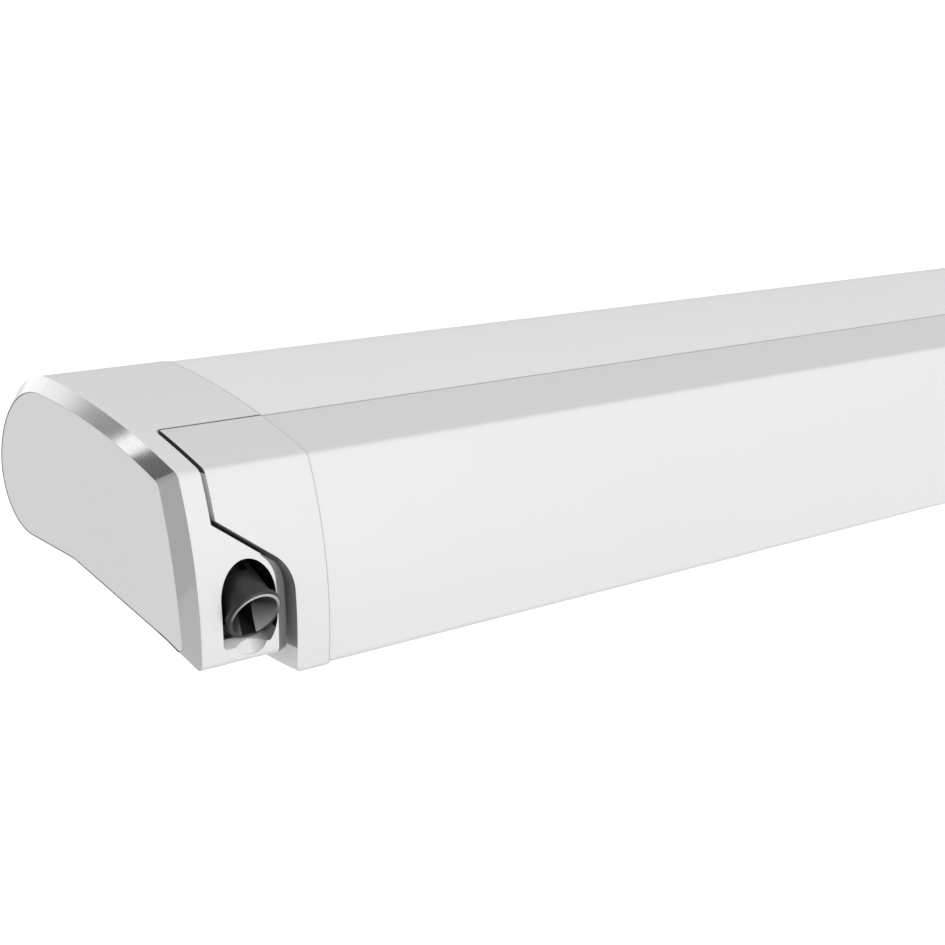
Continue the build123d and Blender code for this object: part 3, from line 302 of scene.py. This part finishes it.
class Masks:
    """Masks in one finish, by the place of a point and the way its face looks."""

    def __init__(self, material):
        self.material = material
        self.tree = material.node_tree
        place = self.tree.nodes.new("ShaderNodeTexCoord")
        shape = self.tree.nodes.new("ShaderNodeNewGeometry")
        self.x, self.y, self.z = self.split(place.outputs["Object"])
        self.facing_x, self.facing_y, self.facing_z = self.split(shape.outputs["True Normal"])
        self.across = self.calc("ABSOLUTE", self.x)

    def split(self, vector):
        """The X, Y and Z of a vector."""
        node = self.tree.nodes.new("ShaderNodeSeparateXYZ")
        self.tree.links.new(vector, node.inputs[0])
        return node.outputs

    def calc(self, operation, first, second=None):
        """One step of arithmetic on one or two sockets or numbers."""
        node = self.tree.nodes.new("ShaderNodeMath")
        node.operation = operation
        for socket, value in zip(node.inputs, (first, second)):
            if isinstance(value, (int, float)):
                socket.default_value = value
            elif value is not None:
                self.tree.links.new(value, socket)
        return node.outputs[0]

    def above(self, value, limit):
        return self.calc("GREATER_THAN", value, limit)

    def below(self, value, limit):
        return self.calc("LESS_THAN", value, limit)

    def between(self, value, low, high):
        return self.all_of(self.above(value, low), self.below(value, high))

    def all_of(self, *masks):
        """Where every mask holds."""
        product = masks[0]
        for mask in masks[1:]:
            product = self.calc("MULTIPLY", product, mask)
        return product

    def ramp(self, value, start, slope):
        """Rises from 0 at the start, by the slope, to 1."""
        rising = self.calc("MULTIPLY", self.calc("SUBTRACT", value, start), slope)
        return self.calc("MINIMUM", self.calc("MAXIMUM", rising, 0.0), 1.0)

    def blend(self, first, first_share, second, second_share):
        """The sum of a share of each value."""
        return self.calc("ADD", self.calc("MULTIPLY", first, first_share),
                         self.calc("MULTIPLY", second, second_share))

    def distance(self, first, second):
        """How far two offsets lie from nothing."""
        return self.calc("SQRT", self.blend(first, first, second, second))

    def repaint(self, mask, colour):
        """Gives the masked part another colour."""
        base = principled(self.material).inputs["Base Color"]
        mix = self.tree.nodes.new("ShaderNodeMix")
        mix.data_type = "RGBA"
        mix.inputs["B"].default_value = colour
        self.tree.links.new(mask, mix.inputs["Factor"])
        self.tree.links.new(base.links[0].from_socket, mix.inputs["A"])
        self.tree.links.new(mix.outputs["Result"], base)


casing_coat = powder_coat("casing_coat", casing_white, roughness=0.38, peel=0.05)
rail_coat = powder_coat("rail_coat", rail_white, roughness=0.36, peel=0.04)
arm_coat = powder_coat("arm_coat", arm_grey, roughness=0.42, peel=0.06)
rail = Masks(rail_coat)
# Painted shade: the rail's upward-facing ledge is painted greyer.
rail.repaint(rail.ramp(rail.facing_z, ledge_shade_start, ledge_shade_slope), ledge_painted_shade)
rail.repaint(rail.all_of(rail.above(rail.y, rail_seam_y), rail.above(rail.z, seam_foot_z)),
             rail_seam_grey)
dress(casing_coat, "casing_profile")
dress(rail_coat, "lead_rail_profile")
dress(arm_coat, "left_upper_arm_tube", "right_upper_arm_tube", "left_forearm_tube",
      "right_forearm_tube")

# End caps
# Injection mouldings in light grey-white plastic with a fine spark-eroded grain, screwed
# to the casing's ends. The shroud's slanted edge beside the rail cap is charcoal. The
# upward faces are painted greyer as painted shade. The box behind the crank's hole is
# painted near-black as painted shade, but for the pale scoop under the crank's mouth,
# whose right side is painted darker as painted shade.
cap_white = grey(0.93)
crown_painted_shade = grey(0.81)
scoop_shade = grey(0.22)
edge_grey = grey(0.18, 0.003)
cap_joint_grey = grey(0.52)
box_painted_shade = grey(0.015)
crown_shade_start = 0.55
crown_shade_slope = 3.0
edge_x = 1.2442
edge_y = -0.1405
round_centre_x = 1.2627
round_centre_z = 0.0053
round_radius = 0.0185
round_end_x = 1.2520
round_top_z = 0.024
round_back_y = -0.130
round_facing = -0.4
box_sides_x = (1.2372, 1.2796)
box_back_y = -0.100
box_span_z = (-0.0290, 0.045)
box_facing = -0.5
scoop_front_y = -0.141
scoop_middle_x = -1.262
scoop_slope = 90.0
scoop_top_z = 0.0
scoop_facing = 0.2
pale_facing = 0.35
cap_joint_x = 1.2107


def moulded(name, colour, roughness, grain_size, depth, shade_share=0.96):
    """Moulded plastic: a fine pebble grain and a little variation of gloss."""
    material, *tools = new_material(name)
    add, join = tools
    place = add("ShaderNodeTexCoord")
    flow = add("ShaderNodeTexNoise", {"Scale": 22.0, "Detail": 3.0})
    pebble = add("ShaderNodeTexVoronoi", {"Scale": 1.0 / grain_size}, feature="SMOOTH_F1")
    join(
        (place.outputs["Object"], flow.inputs["Vector"]),
        (place.outputs["Object"], pebble.inputs["Vector"]),
    )
    lay_on(tools, colour, shade_share, gloss=(roughness - 0.05, roughness + 0.06),
           blotches=flow.outputs["Fac"], grain=pebble.outputs["Distance"], grain_depth=depth,
           Specular_IOR_Level=0.42)
    return material


cap_plastic = moulded("cap_plastic", cap_white, roughness=0.40, grain_size=0.0009, depth=0.10)
cap = Masks(cap_plastic)
crown_shade = cap.ramp(cap.facing_z, crown_shade_start, crown_shade_slope)
scoop_front = cap.below(cap.y, scoop_front_y)
scoop_side = cap.all_of(
    cap.ramp(cap.x, scoop_middle_x, scoop_slope),
    cap.above(cap.facing_z, scoop_facing), cap.below(cap.z, scoop_top_z), scoop_front,
)
slanted_edge = cap.all_of(cap.below(cap.across, edge_x), cap.below(cap.y, edge_y))
round_x = cap.calc("SUBTRACT", cap.across, round_centre_x)
round_z = cap.calc("SUBTRACT", cap.z, round_centre_z)
rounded_corner = cap.all_of(
    cap.above(cap.distance(round_x, round_z), round_radius),
    cap.below(cap.across, round_end_x), cap.between(cap.z, round_centre_z, round_top_z),
    cap.below(cap.facing_y, round_facing), cap.below(cap.y, round_back_y),
)
pale_scoop = cap.all_of(cap.above(cap.facing_z, pale_facing), scoop_front)
shaded_box_inside = cap.all_of(
    cap.between(cap.across, *box_sides_x), cap.below(cap.y, box_back_y),
    cap.between(cap.z, *box_span_z), cap.above(cap.facing_y, box_facing),
    cap.calc("SUBTRACT", 1.0, pale_scoop),
)
# Painted shade: the cap's upward-facing faces are painted greyer.
cap.repaint(crown_shade, crown_painted_shade)
# Painted shade: the scoop's right side is painted darker.
cap.repaint(scoop_side, scoop_shade)
cap.repaint(cap.calc("MAXIMUM", slanted_edge, rounded_corner), edge_grey)
cap.repaint(cap.below(cap.across, cap_joint_x), cap_joint_grey)
# Painted shade: the box behind the crank's hole is painted near-black.
cap.repaint(shaded_box_inside, box_painted_shade)
dress(cap_plastic, "left_end_cap", "right_end_cap")

# Rail caps
# Mouldings of the same plastic, pushed into the lead rail's ends. The wall that looks
# to the shroud is mid-grey low down; higher up it is painted pale as painted light in the
# slit's shade, and painted black as painted shade in the nook at the top. The upward ledge
# is painted greyer as painted shade. The rear edge and the joint to the rail are thin dark
# lines.
rail_cap_white = grey(0.93)
gap_grey = grey(0.38, 0.005)
slit_painted_light = grey(0.85)
nook_painted_shade = grey(0.06)
cap_ledge_painted_shade = grey(0.75)
cap_seam_black = grey(0.03)
gap_facing = 0.3
gap_foot_z = -0.0352
slit_foot_z = 0.004
slit_slope = 35.0
nook_z = 0.0665
cap_seam_y = -0.0901
rail_cap_plastic = moulded("rail_cap_plastic", rail_cap_white, roughness=0.40,
                           grain_size=0.0009, depth=0.10)
rail_cap = Masks(rail_cap_plastic)
outwards = rail_cap.calc("MULTIPLY", rail_cap.facing_x, rail_cap.calc("SIGN", rail_cap.x))
gap_wall = rail_cap.all_of(rail_cap.above(outwards, gap_facing),
                           rail_cap.above(rail_cap.z, gap_foot_z))
slit_wall = rail_cap.all_of(gap_wall, rail_cap.ramp(rail_cap.z, slit_foot_z, slit_slope))
nook_wall = rail_cap.all_of(gap_wall, rail_cap.above(rail_cap.z, nook_z))
cap_ledge_shade = rail_cap.ramp(rail_cap.facing_z, ledge_shade_start, ledge_shade_slope)
cap_seam = rail_cap.all_of(rail_cap.above(rail_cap.y, cap_seam_y),
                           rail_cap.above(rail_cap.z, seam_foot_z))
rail_cap.repaint(gap_wall, gap_grey)
# Painted light: the wall higher up in the narrow slit is painted pale against its shade.
rail_cap.repaint(slit_wall, slit_painted_light)
# Painted shade: the nook at the top of the wall is painted black.
rail_cap.repaint(nook_wall, nook_painted_shade)
# Painted shade: the rail cap's upward-facing ledge is painted greyer.
rail_cap.repaint(cap_ledge_shade, cap_ledge_painted_shade)
rail_cap.repaint(cap_seam, cap_seam_black)
rail_cap.repaint(rail_cap.below(rail_cap.across, cap_joint_x), cap_joint_grey)
dress(rail_cap_plastic, "left_rail_cap", "right_rail_cap")

# Side panels
# Flat aluminium sheets let into the trim bands, painted a slightly deeper grey-white
# with a soft satin sheen.
side_panel_grey = grey(0.88)
panel_paint = powder_coat("panel_paint", side_panel_grey, roughness=0.34, peel=0.15)
dress(panel_paint, "left_cap_panel", "right_cap_panel")

# Trim bands
# Satin-chromed mouldings clipped round the front and top of each end cap, a bevelled
# bright line. The flat rim behind the bevel is bare pale plastic, and the joint to the
# side panel is a dark line, made darkest at the foot with painted shade.
chrome_white = grey(0.80, 0.01)
rim_grey = grey(0.84)
band_joint_grey = grey(0.40)
band_foot_painted_shade = grey(0.03)
rim_x = 1.2935
rim_facing = 0.2
band_foot_z = -0.02


def bright_metal(name, colour, roughness, brushed, stretch=(1.0, 1.0, 1.0), scale=900.0):
    """Bare or plated metal: a metallic surface with fine directional marks."""
    material, *tools = new_material(name)
    add, join = tools
    place = add("ShaderNodeTexCoord")
    lie = add("ShaderNodeMapping", {"Scale": stretch})
    marks = add("ShaderNodeTexNoise", {"Scale": scale, "Detail": 3.0})
    join(
        (place.outputs["Object"], lie.inputs["Vector"]),
        (lie.outputs["Vector"], marks.inputs["Vector"]),
    )
    lay_on(tools, colour, shade_share=0.90, gloss=(roughness - 0.05, roughness + 0.07),
           blotches=marks.outputs["Fac"], grain=marks.outputs["Fac"], grain_depth=brushed,
           Metallic=1.0)
    return material


satin_chrome = bright_metal("satin_chrome", chrome_white, roughness=0.07, brushed=0.02)
band = Masks(satin_chrome)
band_side = band.below(band.calc("ABSOLUTE", band.facing_x), rim_facing)
band_rim = band.all_of(band_side, band.below(band.across, rim_x))
band_joint = band.all_of(band_side, band.above(band.across, rim_x))
band_foot_shade = band.all_of(band_joint, band.below(band.z, band_foot_z))
band.repaint(band_rim, rim_grey)
band.repaint(band_joint, band_joint_grey)
# Painted shade: the joint's faces at the foot are painted near-black.
band.repaint(band_foot_shade, band_foot_painted_shade)
band.tree.links.new(band.calc("SUBTRACT", 1.0, band_side),
                    principled(satin_chrome).inputs["Metallic"])
dress(satin_chrome, "left_cap_trim", "right_cap_trim")

# Crank eyelet
# A funnel of charcoal glass-filled nylon on the worm's shaft, tilted down and out. Its
# lower wall is painted lighter grey as painted light, and the upper side of its lip carries
# a painted highlight.
nylon_black = grey(0.024, 0.002)
funnel_painted_light = grey(0.33, 0.005)
lip_painted_highlight = grey(0.72, 0.005)
mouth_tilt = math.radians(29.0)
mouth_x = -1.262
mouth_y = -0.15776
mouth_z = -0.00947
mouth_facing = 0.3
funnel_radius = 0.0138
funnel_depth = 0.0112
lip_radius = 0.0154
lip_depth = 0.0012
light_lean = 0.8
light_slope = 60.0
light_start = 0.20 / light_slope
highlight_start = -0.10 / light_slope
eyelet_plastic = moulded("eyelet_plastic", nylon_black, roughness=0.36, grain_size=0.0007,
                         depth=0.25, shade_share=0.7)
eyelet = Masks(eyelet_plastic)
tilt_cos = math.cos(mouth_tilt)
tilt_sin = math.sin(mouth_tilt)
swing = eyelet.calc("SUBTRACT", eyelet.x, mouth_x)
from_mouth_y = eyelet.calc("SUBTRACT", eyelet.y, mouth_y)
from_mouth_z = eyelet.calc("SUBTRACT", eyelet.z, mouth_z)
depth = eyelet.blend(from_mouth_y, tilt_cos, from_mouth_z, tilt_sin)
rise = eyelet.blend(from_mouth_y, -tilt_sin, from_mouth_z, tilt_cos)
ring = eyelet.distance(rise, swing)
mouth_way = eyelet.blend(eyelet.facing_y, -tilt_cos, eyelet.facing_z, -tilt_sin)
sideways = eyelet.calc("SUBTRACT", eyelet.calc("MULTIPLY", swing, light_lean), rise)
lit_funnel_wall = eyelet.all_of(
    eyelet.above(mouth_way, mouth_facing), eyelet.below(ring, funnel_radius),
    eyelet.below(depth, funnel_depth), eyelet.ramp(sideways, light_start, light_slope),
)
highlit_lip = eyelet.all_of(
    eyelet.between(ring, funnel_radius, lip_radius), eyelet.below(depth, lip_depth),
    eyelet.ramp(rise, highlight_start, light_slope),
)
# Painted light: the funnel's lower wall is painted lighter grey.
eyelet.repaint(lit_funnel_wall, funnel_painted_light)
# Painted highlight: the upper side of the lip is painted pale.
eyelet.repaint(highlit_lip, lip_painted_highlight)
dress(eyelet_plastic, "crank_eyelet")

# Gear box, roller plugs and leg ends
# Coarser mouldings: a near-black gear box screwed into the left end cap, and mid-grey
# nylon for the plugs pressed into the roller and for the legs' heads, clamps and feet.
gear_black = grey(0.035, 0.003)
nylon_grey = grey(0.20, 0.01)
gear_plastic = moulded("gear_plastic", gear_black, roughness=0.5, grain_size=0.0010,
                       depth=0.3, shade_share=0.8)
grey_plastic = moulded("grey_plastic", nylon_grey, roughness=0.48, grain_size=0.0010,
                       depth=0.25, shade_share=0.9)
dress(gear_plastic, "gearbox_housing", "gearbox_cover")
dress(grey_plastic, "left_roller_plug", "right_roller_plug", "roller_bearing_plate",
      "left_leg_head", "right_leg_head", "left_leg_foot", "right_leg_foot",
      "left_leg_clamp", "right_leg_clamp")

# Shafts, pins, springs, screws and clips
# Turned, wound and pressed steel parts, zinc-plated, with marks that run along them, and
# a worm wheel cut from bronze.
zinc_colour = (0.55, 0.56, 0.58, 1.0)
bronze_colour = (0.66, 0.47, 0.24, 1.0)
zinc_steel = bright_metal("zinc_steel", zinc_colour, roughness=0.34, brushed=0.08,
                          stretch=(1.0, 1.0, 6.0), scale=500.0)
wheel_bronze = bright_metal("wheel_bronze", bronze_colour, roughness=0.32, brushed=0.06)
dress(zinc_steel, "crank_shaft", "shoulder_pins", "wrist_pins", "left_elbow_pin",
      "right_elbow_pin", "left_arm_spring", "right_arm_spring", "cap_screws", "leg_clips",
      "left_leg_bracket", "right_leg_bracket")
dress(wheel_bronze, "worm_wheel")

# Roller, legs and cast joints
# Mill-finish aluminium with the long draw marks of an extrusion, and a coarser
# die-cast surface on the knuckles and brackets that are pinned and screwed to it.
drawn_colour = (0.70, 0.71, 0.72, 1.0)
cast_colour = (0.52, 0.53, 0.54, 1.0)
drawn_aluminium = bright_metal("drawn_aluminium", drawn_colour, roughness=0.36, brushed=0.10,
                               stretch=(0.02, 1.0, 1.0), scale=1500.0)
cast_aluminium = bright_metal("cast_aluminium", cast_colour, roughness=0.48, brushed=0.35,
                              scale=700.0)
dress(drawn_aluminium, "roller_tube", "left_leg_tube", "right_leg_tube", "left_leg_inner",
      "right_leg_inner")
dress(cast_aluminium, "left_shoulder_bracket", "right_shoulder_bracket",
      "left_wrist_bracket", "right_wrist_bracket", "left_shoulder_knuckle",
      "right_shoulder_knuckle", "left_wrist_knuckle", "right_wrist_knuckle",
      "left_elbow_fork", "right_elbow_fork", "left_elbow_tongue", "right_elbow_tongue")

# Closing seal
# A black rubber strip, extruded and clipped under the casing's front edge, that the
# closed lead rail presses on.
rubber_black = grey(0.02)
seal_rubber = moulded("seal_rubber", rubber_black, roughness=0.62, grain_size=0.0012,
                      depth=0.4, shade_share=0.8)
dress(seal_rubber, "closing_seal")

# Cloth roll
# Woven cloth in light grey, wound on the roller. It is one long edge, turned round the
# roller step by step and let out a little at each step, so that its end shows the turns.
cloth_grey = (0.46, 0.48, 0.50, 1.0)
threads_a_metre = 1428.0
cloth_width = 2.37
cloth_thickness = 0.00045
drawn_thickness = 0.9 * cloth_thickness
roller_centre = Vector((0.0, 0.01404, 0.05103))
first_turn = 0.03172
last_turn = 0.03606
first_step = 0.002
roll_turns = 10
steps_a_turn = 36
smooth_angle = math.radians(40.0)


def woven(name, colour):
    """Plain weave that reads the cloth's own map, in metres along and across."""
    material, add, join = new_material(name)
    out = add("ShaderNodeOutputMaterial")
    cloth = add("ShaderNodeBsdfPrincipled", {"Roughness": 0.85, "Sheen Weight": 0.15})
    spread = add("ShaderNodeUVMap", uv_map="cloth")
    # At scale 1 the wave texture repeats 20 / tau times a metre.
    wave_scale = threads_a_metre * math.tau / 20.0
    warp, weft = (
        add("ShaderNodeTexWave", {"Scale": wave_scale, "Distortion": 0.6, "Detail Scale": 2.0},
            bands_direction=axis, wave_profile="SIN")
        for axis in ("X", "Y")
    )
    weave = add("ShaderNodeMath", operation="MULTIPLY")
    slub = add("ShaderNodeTexNoise", {"Scale": 60.0, "Detail": 3.0})
    tint = add("ShaderNodeMix", {"A": shade(colour, 0.78), "B": colour}, data_type="RGBA")
    depth = add("ShaderNodeMath", operation="ADD")
    relief = add("ShaderNodeBump", {"Strength": 0.5, "Distance": 0.0002})
    join(
        (spread.outputs["UV"], warp.inputs["Vector"]),
        (spread.outputs["UV"], weft.inputs["Vector"]),
        (spread.outputs["UV"], slub.inputs["Vector"]),
        (warp.outputs["Fac"], weave.inputs[0]),
        (weft.outputs["Fac"], weave.inputs[1]),
        (weave.outputs[0], depth.inputs[0]),
        (slub.outputs["Fac"], depth.inputs[1]),
        (depth.outputs[0], tint.inputs["Factor"]),
        (tint.outputs["Result"], cloth.inputs["Base Color"]),
        (weave.outputs[0], relief.inputs["Height"]),
        (relief.outputs["Normal"], cloth.inputs["Normal"]),
        (cloth.outputs["BSDF"], out.inputs["Surface"]),
    )
    return material


def start_piece():
    """Leaves nothing selected, in object mode."""
    if bpy.context.mode != "OBJECT":
        bpy.ops.object.mode_set(mode="OBJECT")
    bpy.ops.object.select_all(action="DESELECT")


def pick(piece):
    """Selects one piece alone, in object mode."""
    start_piece()
    piece.select_set(True)
    bpy.context.view_layer.objects.active = piece


def settle(piece):
    """Puts a piece's place into its mesh, with its object at the origin."""
    pick(piece)
    bpy.ops.object.transform_apply(location=True, rotation=True, scale=True)


def cloth_map(piece, along):
    """The cloth's own map in metres: across the awning, and along the cloth by a rule."""
    layer = piece.data.uv_layers.active or piece.data.uv_layers.new()
    layer.name = "cloth"
    for loop in piece.data.loops:
        place = piece.data.vertices[loop.vertex_index].co
        layer.data[loop.index].uv = (place.x, along(place))


def wound_length(place):
    """How far along the cloth a place of the roll lies."""
    radius = math.hypot(place.y - roller_centre.y, place.z - roller_centre.z)
    growth_a_turn = (last_turn - first_turn) / roll_turns
    return math.pi * (radius ** 2 - first_turn ** 2) / growth_a_turn


def finish_cloth(piece):
    """Gives a sheet its thickness, smooth faces and the weave."""
    pick(piece)
    shell = piece.modifiers.new("thickness", "SOLIDIFY")
    shell.thickness = drawn_thickness
    shell.offset = 0.0
    bpy.ops.object.modifier_apply(modifier="thickness")
    bpy.ops.object.shade_smooth_by_angle(angle=smooth_angle)
    piece.data.materials.append(canopy_weave)


canopy_weave = woven("canopy_weave", cloth_grey)
start_piece()
bpy.ops.mesh.primitive_plane_add(
    size=1.0, location=(0.0, roller_centre.y, roller_centre.z + first_turn))
cloth_roll = bpy.context.object
cloth_roll.name = "cloth_roll"
cloth_roll.scale = (cloth_width, first_step, 1.0)
settle(cloth_roll)
bpy.ops.object.mode_set(mode="EDIT")
bpy.ops.mesh.select_mode(type="EDGE")
bpy.ops.mesh.select_all(action="DESELECT")
bpy.ops.object.mode_set(mode="OBJECT")
for edge in cloth_roll.data.edges:
    ends = [cloth_roll.data.vertices[index].co for index in edge.vertices]
    edge.select = all(end.y > roller_centre.y for end in ends)
bpy.ops.object.mode_set(mode="EDIT")
roll_steps = roll_turns * steps_a_turn
growth = (last_turn / first_turn) ** (1.0 / roll_steps)
for _ in range(roll_steps):
    bpy.ops.mesh.extrude_edges_move()
    bpy.ops.transform.rotate(value=math.tau / steps_a_turn, orient_axis="X",
                             orient_type="GLOBAL", center_override=roller_centre)
    bpy.ops.transform.resize(value=(1.0, growth, growth), orient_type="GLOBAL",
                             center_override=roller_centre)
bpy.ops.object.mode_set(mode="OBJECT")
cloth_map(cloth_roll, wound_length)
finish_cloth(cloth_roll)
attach(cloth_roll, "roller")
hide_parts("fabric_roll")

# Cloth leader
# The free cloth of the same weave, from the roll to the welt in the lead rail: one sheet
# that leaves the roll at a tangent and sags a little.
leader_foot = Vector((0.0, -0.09151, 0.07242))
leader_columns = 24
leader_rows = 36
leader_sag = 0.0015
row_tolerance = 0.25
roll_clearance = 0.0003
roll_reach = leader_foot - roller_centre
reach_angle = math.atan2(roll_reach.z, roll_reach.y)
lift_angle = reach_angle - math.acos(last_turn / math.hypot(roll_reach.y, roll_reach.z))
lift_way = Vector((0.0, math.cos(lift_angle), math.sin(lift_angle)))
leader_head = roller_centre + lift_way * (last_turn + roll_clearance)
leader_run = leader_head - leader_foot
start_piece()
bpy.ops.mesh.primitive_grid_add(
    x_subdivisions=leader_columns, y_subdivisions=leader_rows, size=1.0,
    location=(leader_head + leader_foot) / 2.0,
    rotation=(math.atan2(leader_run.z, leader_run.y), 0.0, 0.0),
)
cloth_leader = bpy.context.object
cloth_leader.name = "cloth_leader"
cloth_leader.scale = (cloth_width, leader_run.length, 1.0)
settle(cloth_leader)


def run_share(place):
    """How far along the leader a place lies, from 0 at the welt to 1 at the roll."""
    return (Vector(place) - leader_foot).dot(leader_run) / leader_run.length_squared


for row in range(1, leader_rows):
    pick(cloth_leader)
    vertices = cloth_leader.data.vertices
    for face in cloth_leader.data.polygons:
        face.select = False
    for vertex in vertices:
        vertex.select = abs(run_share(vertex.co) * leader_rows - row) < row_tolerance
    for edge in cloth_leader.data.edges:
        edge.select = all(vertices[index].select for index in edge.vertices)
    share = row / leader_rows
    drop = 4.0 * leader_sag * share * (1.0 - share)
    bpy.ops.object.mode_set(mode="EDIT")
    bpy.ops.transform.translate(value=(0.0, 0.0, -drop))
    bpy.ops.object.mode_set(mode="OBJECT")
cloth_map(cloth_leader, lambda place: run_share(place) * leader_run.length)
finish_cloth(cloth_leader)
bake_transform(cloth_leader)
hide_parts("canopy_leader")

# Welt
# A cord of the cloth's width, sewn into its front edge, which the lead rail's groove
# holds. Its rear faces are drawn out into the flat neck that the leader is sewn to.
welt_centre = Vector((0.0, -0.09696, 0.07242))
welt_radius = 0.0031
welt_sides = 28
neck_facing = 0.99
neck_inset = 0.0001
neck_share = 0.5
neck_run = leader_foot.y - welt_centre.y - welt_radius
start_piece()
bpy.ops.mesh.primitive_cylinder_add(
    vertices=welt_sides, radius=welt_radius, depth=cloth_width, location=welt_centre,
    rotation=(0.0, math.pi / 2.0, 0.0),
)
cloth_welt = bpy.context.object
cloth_welt.name = "cloth_welt"
settle(cloth_welt)
bpy.ops.object.mode_set(mode="EDIT")
bpy.ops.mesh.select_mode(type="FACE")
bpy.ops.mesh.select_all(action="DESELECT")
bpy.ops.object.mode_set(mode="OBJECT")
for face in cloth_welt.data.polygons:
    face.select = face.normal.y > neck_facing
bpy.ops.object.mode_set(mode="EDIT")
bpy.ops.mesh.inset(thickness=neck_inset)
bpy.ops.transform.resize(value=(1.0, 1.0, neck_share), orient_type="GLOBAL",
                         center_override=welt_centre)
bpy.ops.mesh.extrude_region_move(TRANSFORM_OT_translate={"value": (0.0, neck_run, 0.0)})
pick(cloth_welt)
bpy.ops.object.shade_smooth_by_angle(angle=smooth_angle)


def girth(place):
    """How far round the welt a place lies."""
    return math.atan2(place.z - welt_centre.z, place.y - welt_centre.y) * welt_radius


cloth_map(cloth_welt, girth)
cloth_welt.data.materials.append(canopy_weave)
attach(cloth_welt, "lead_rail")
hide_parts("canopy_keder")
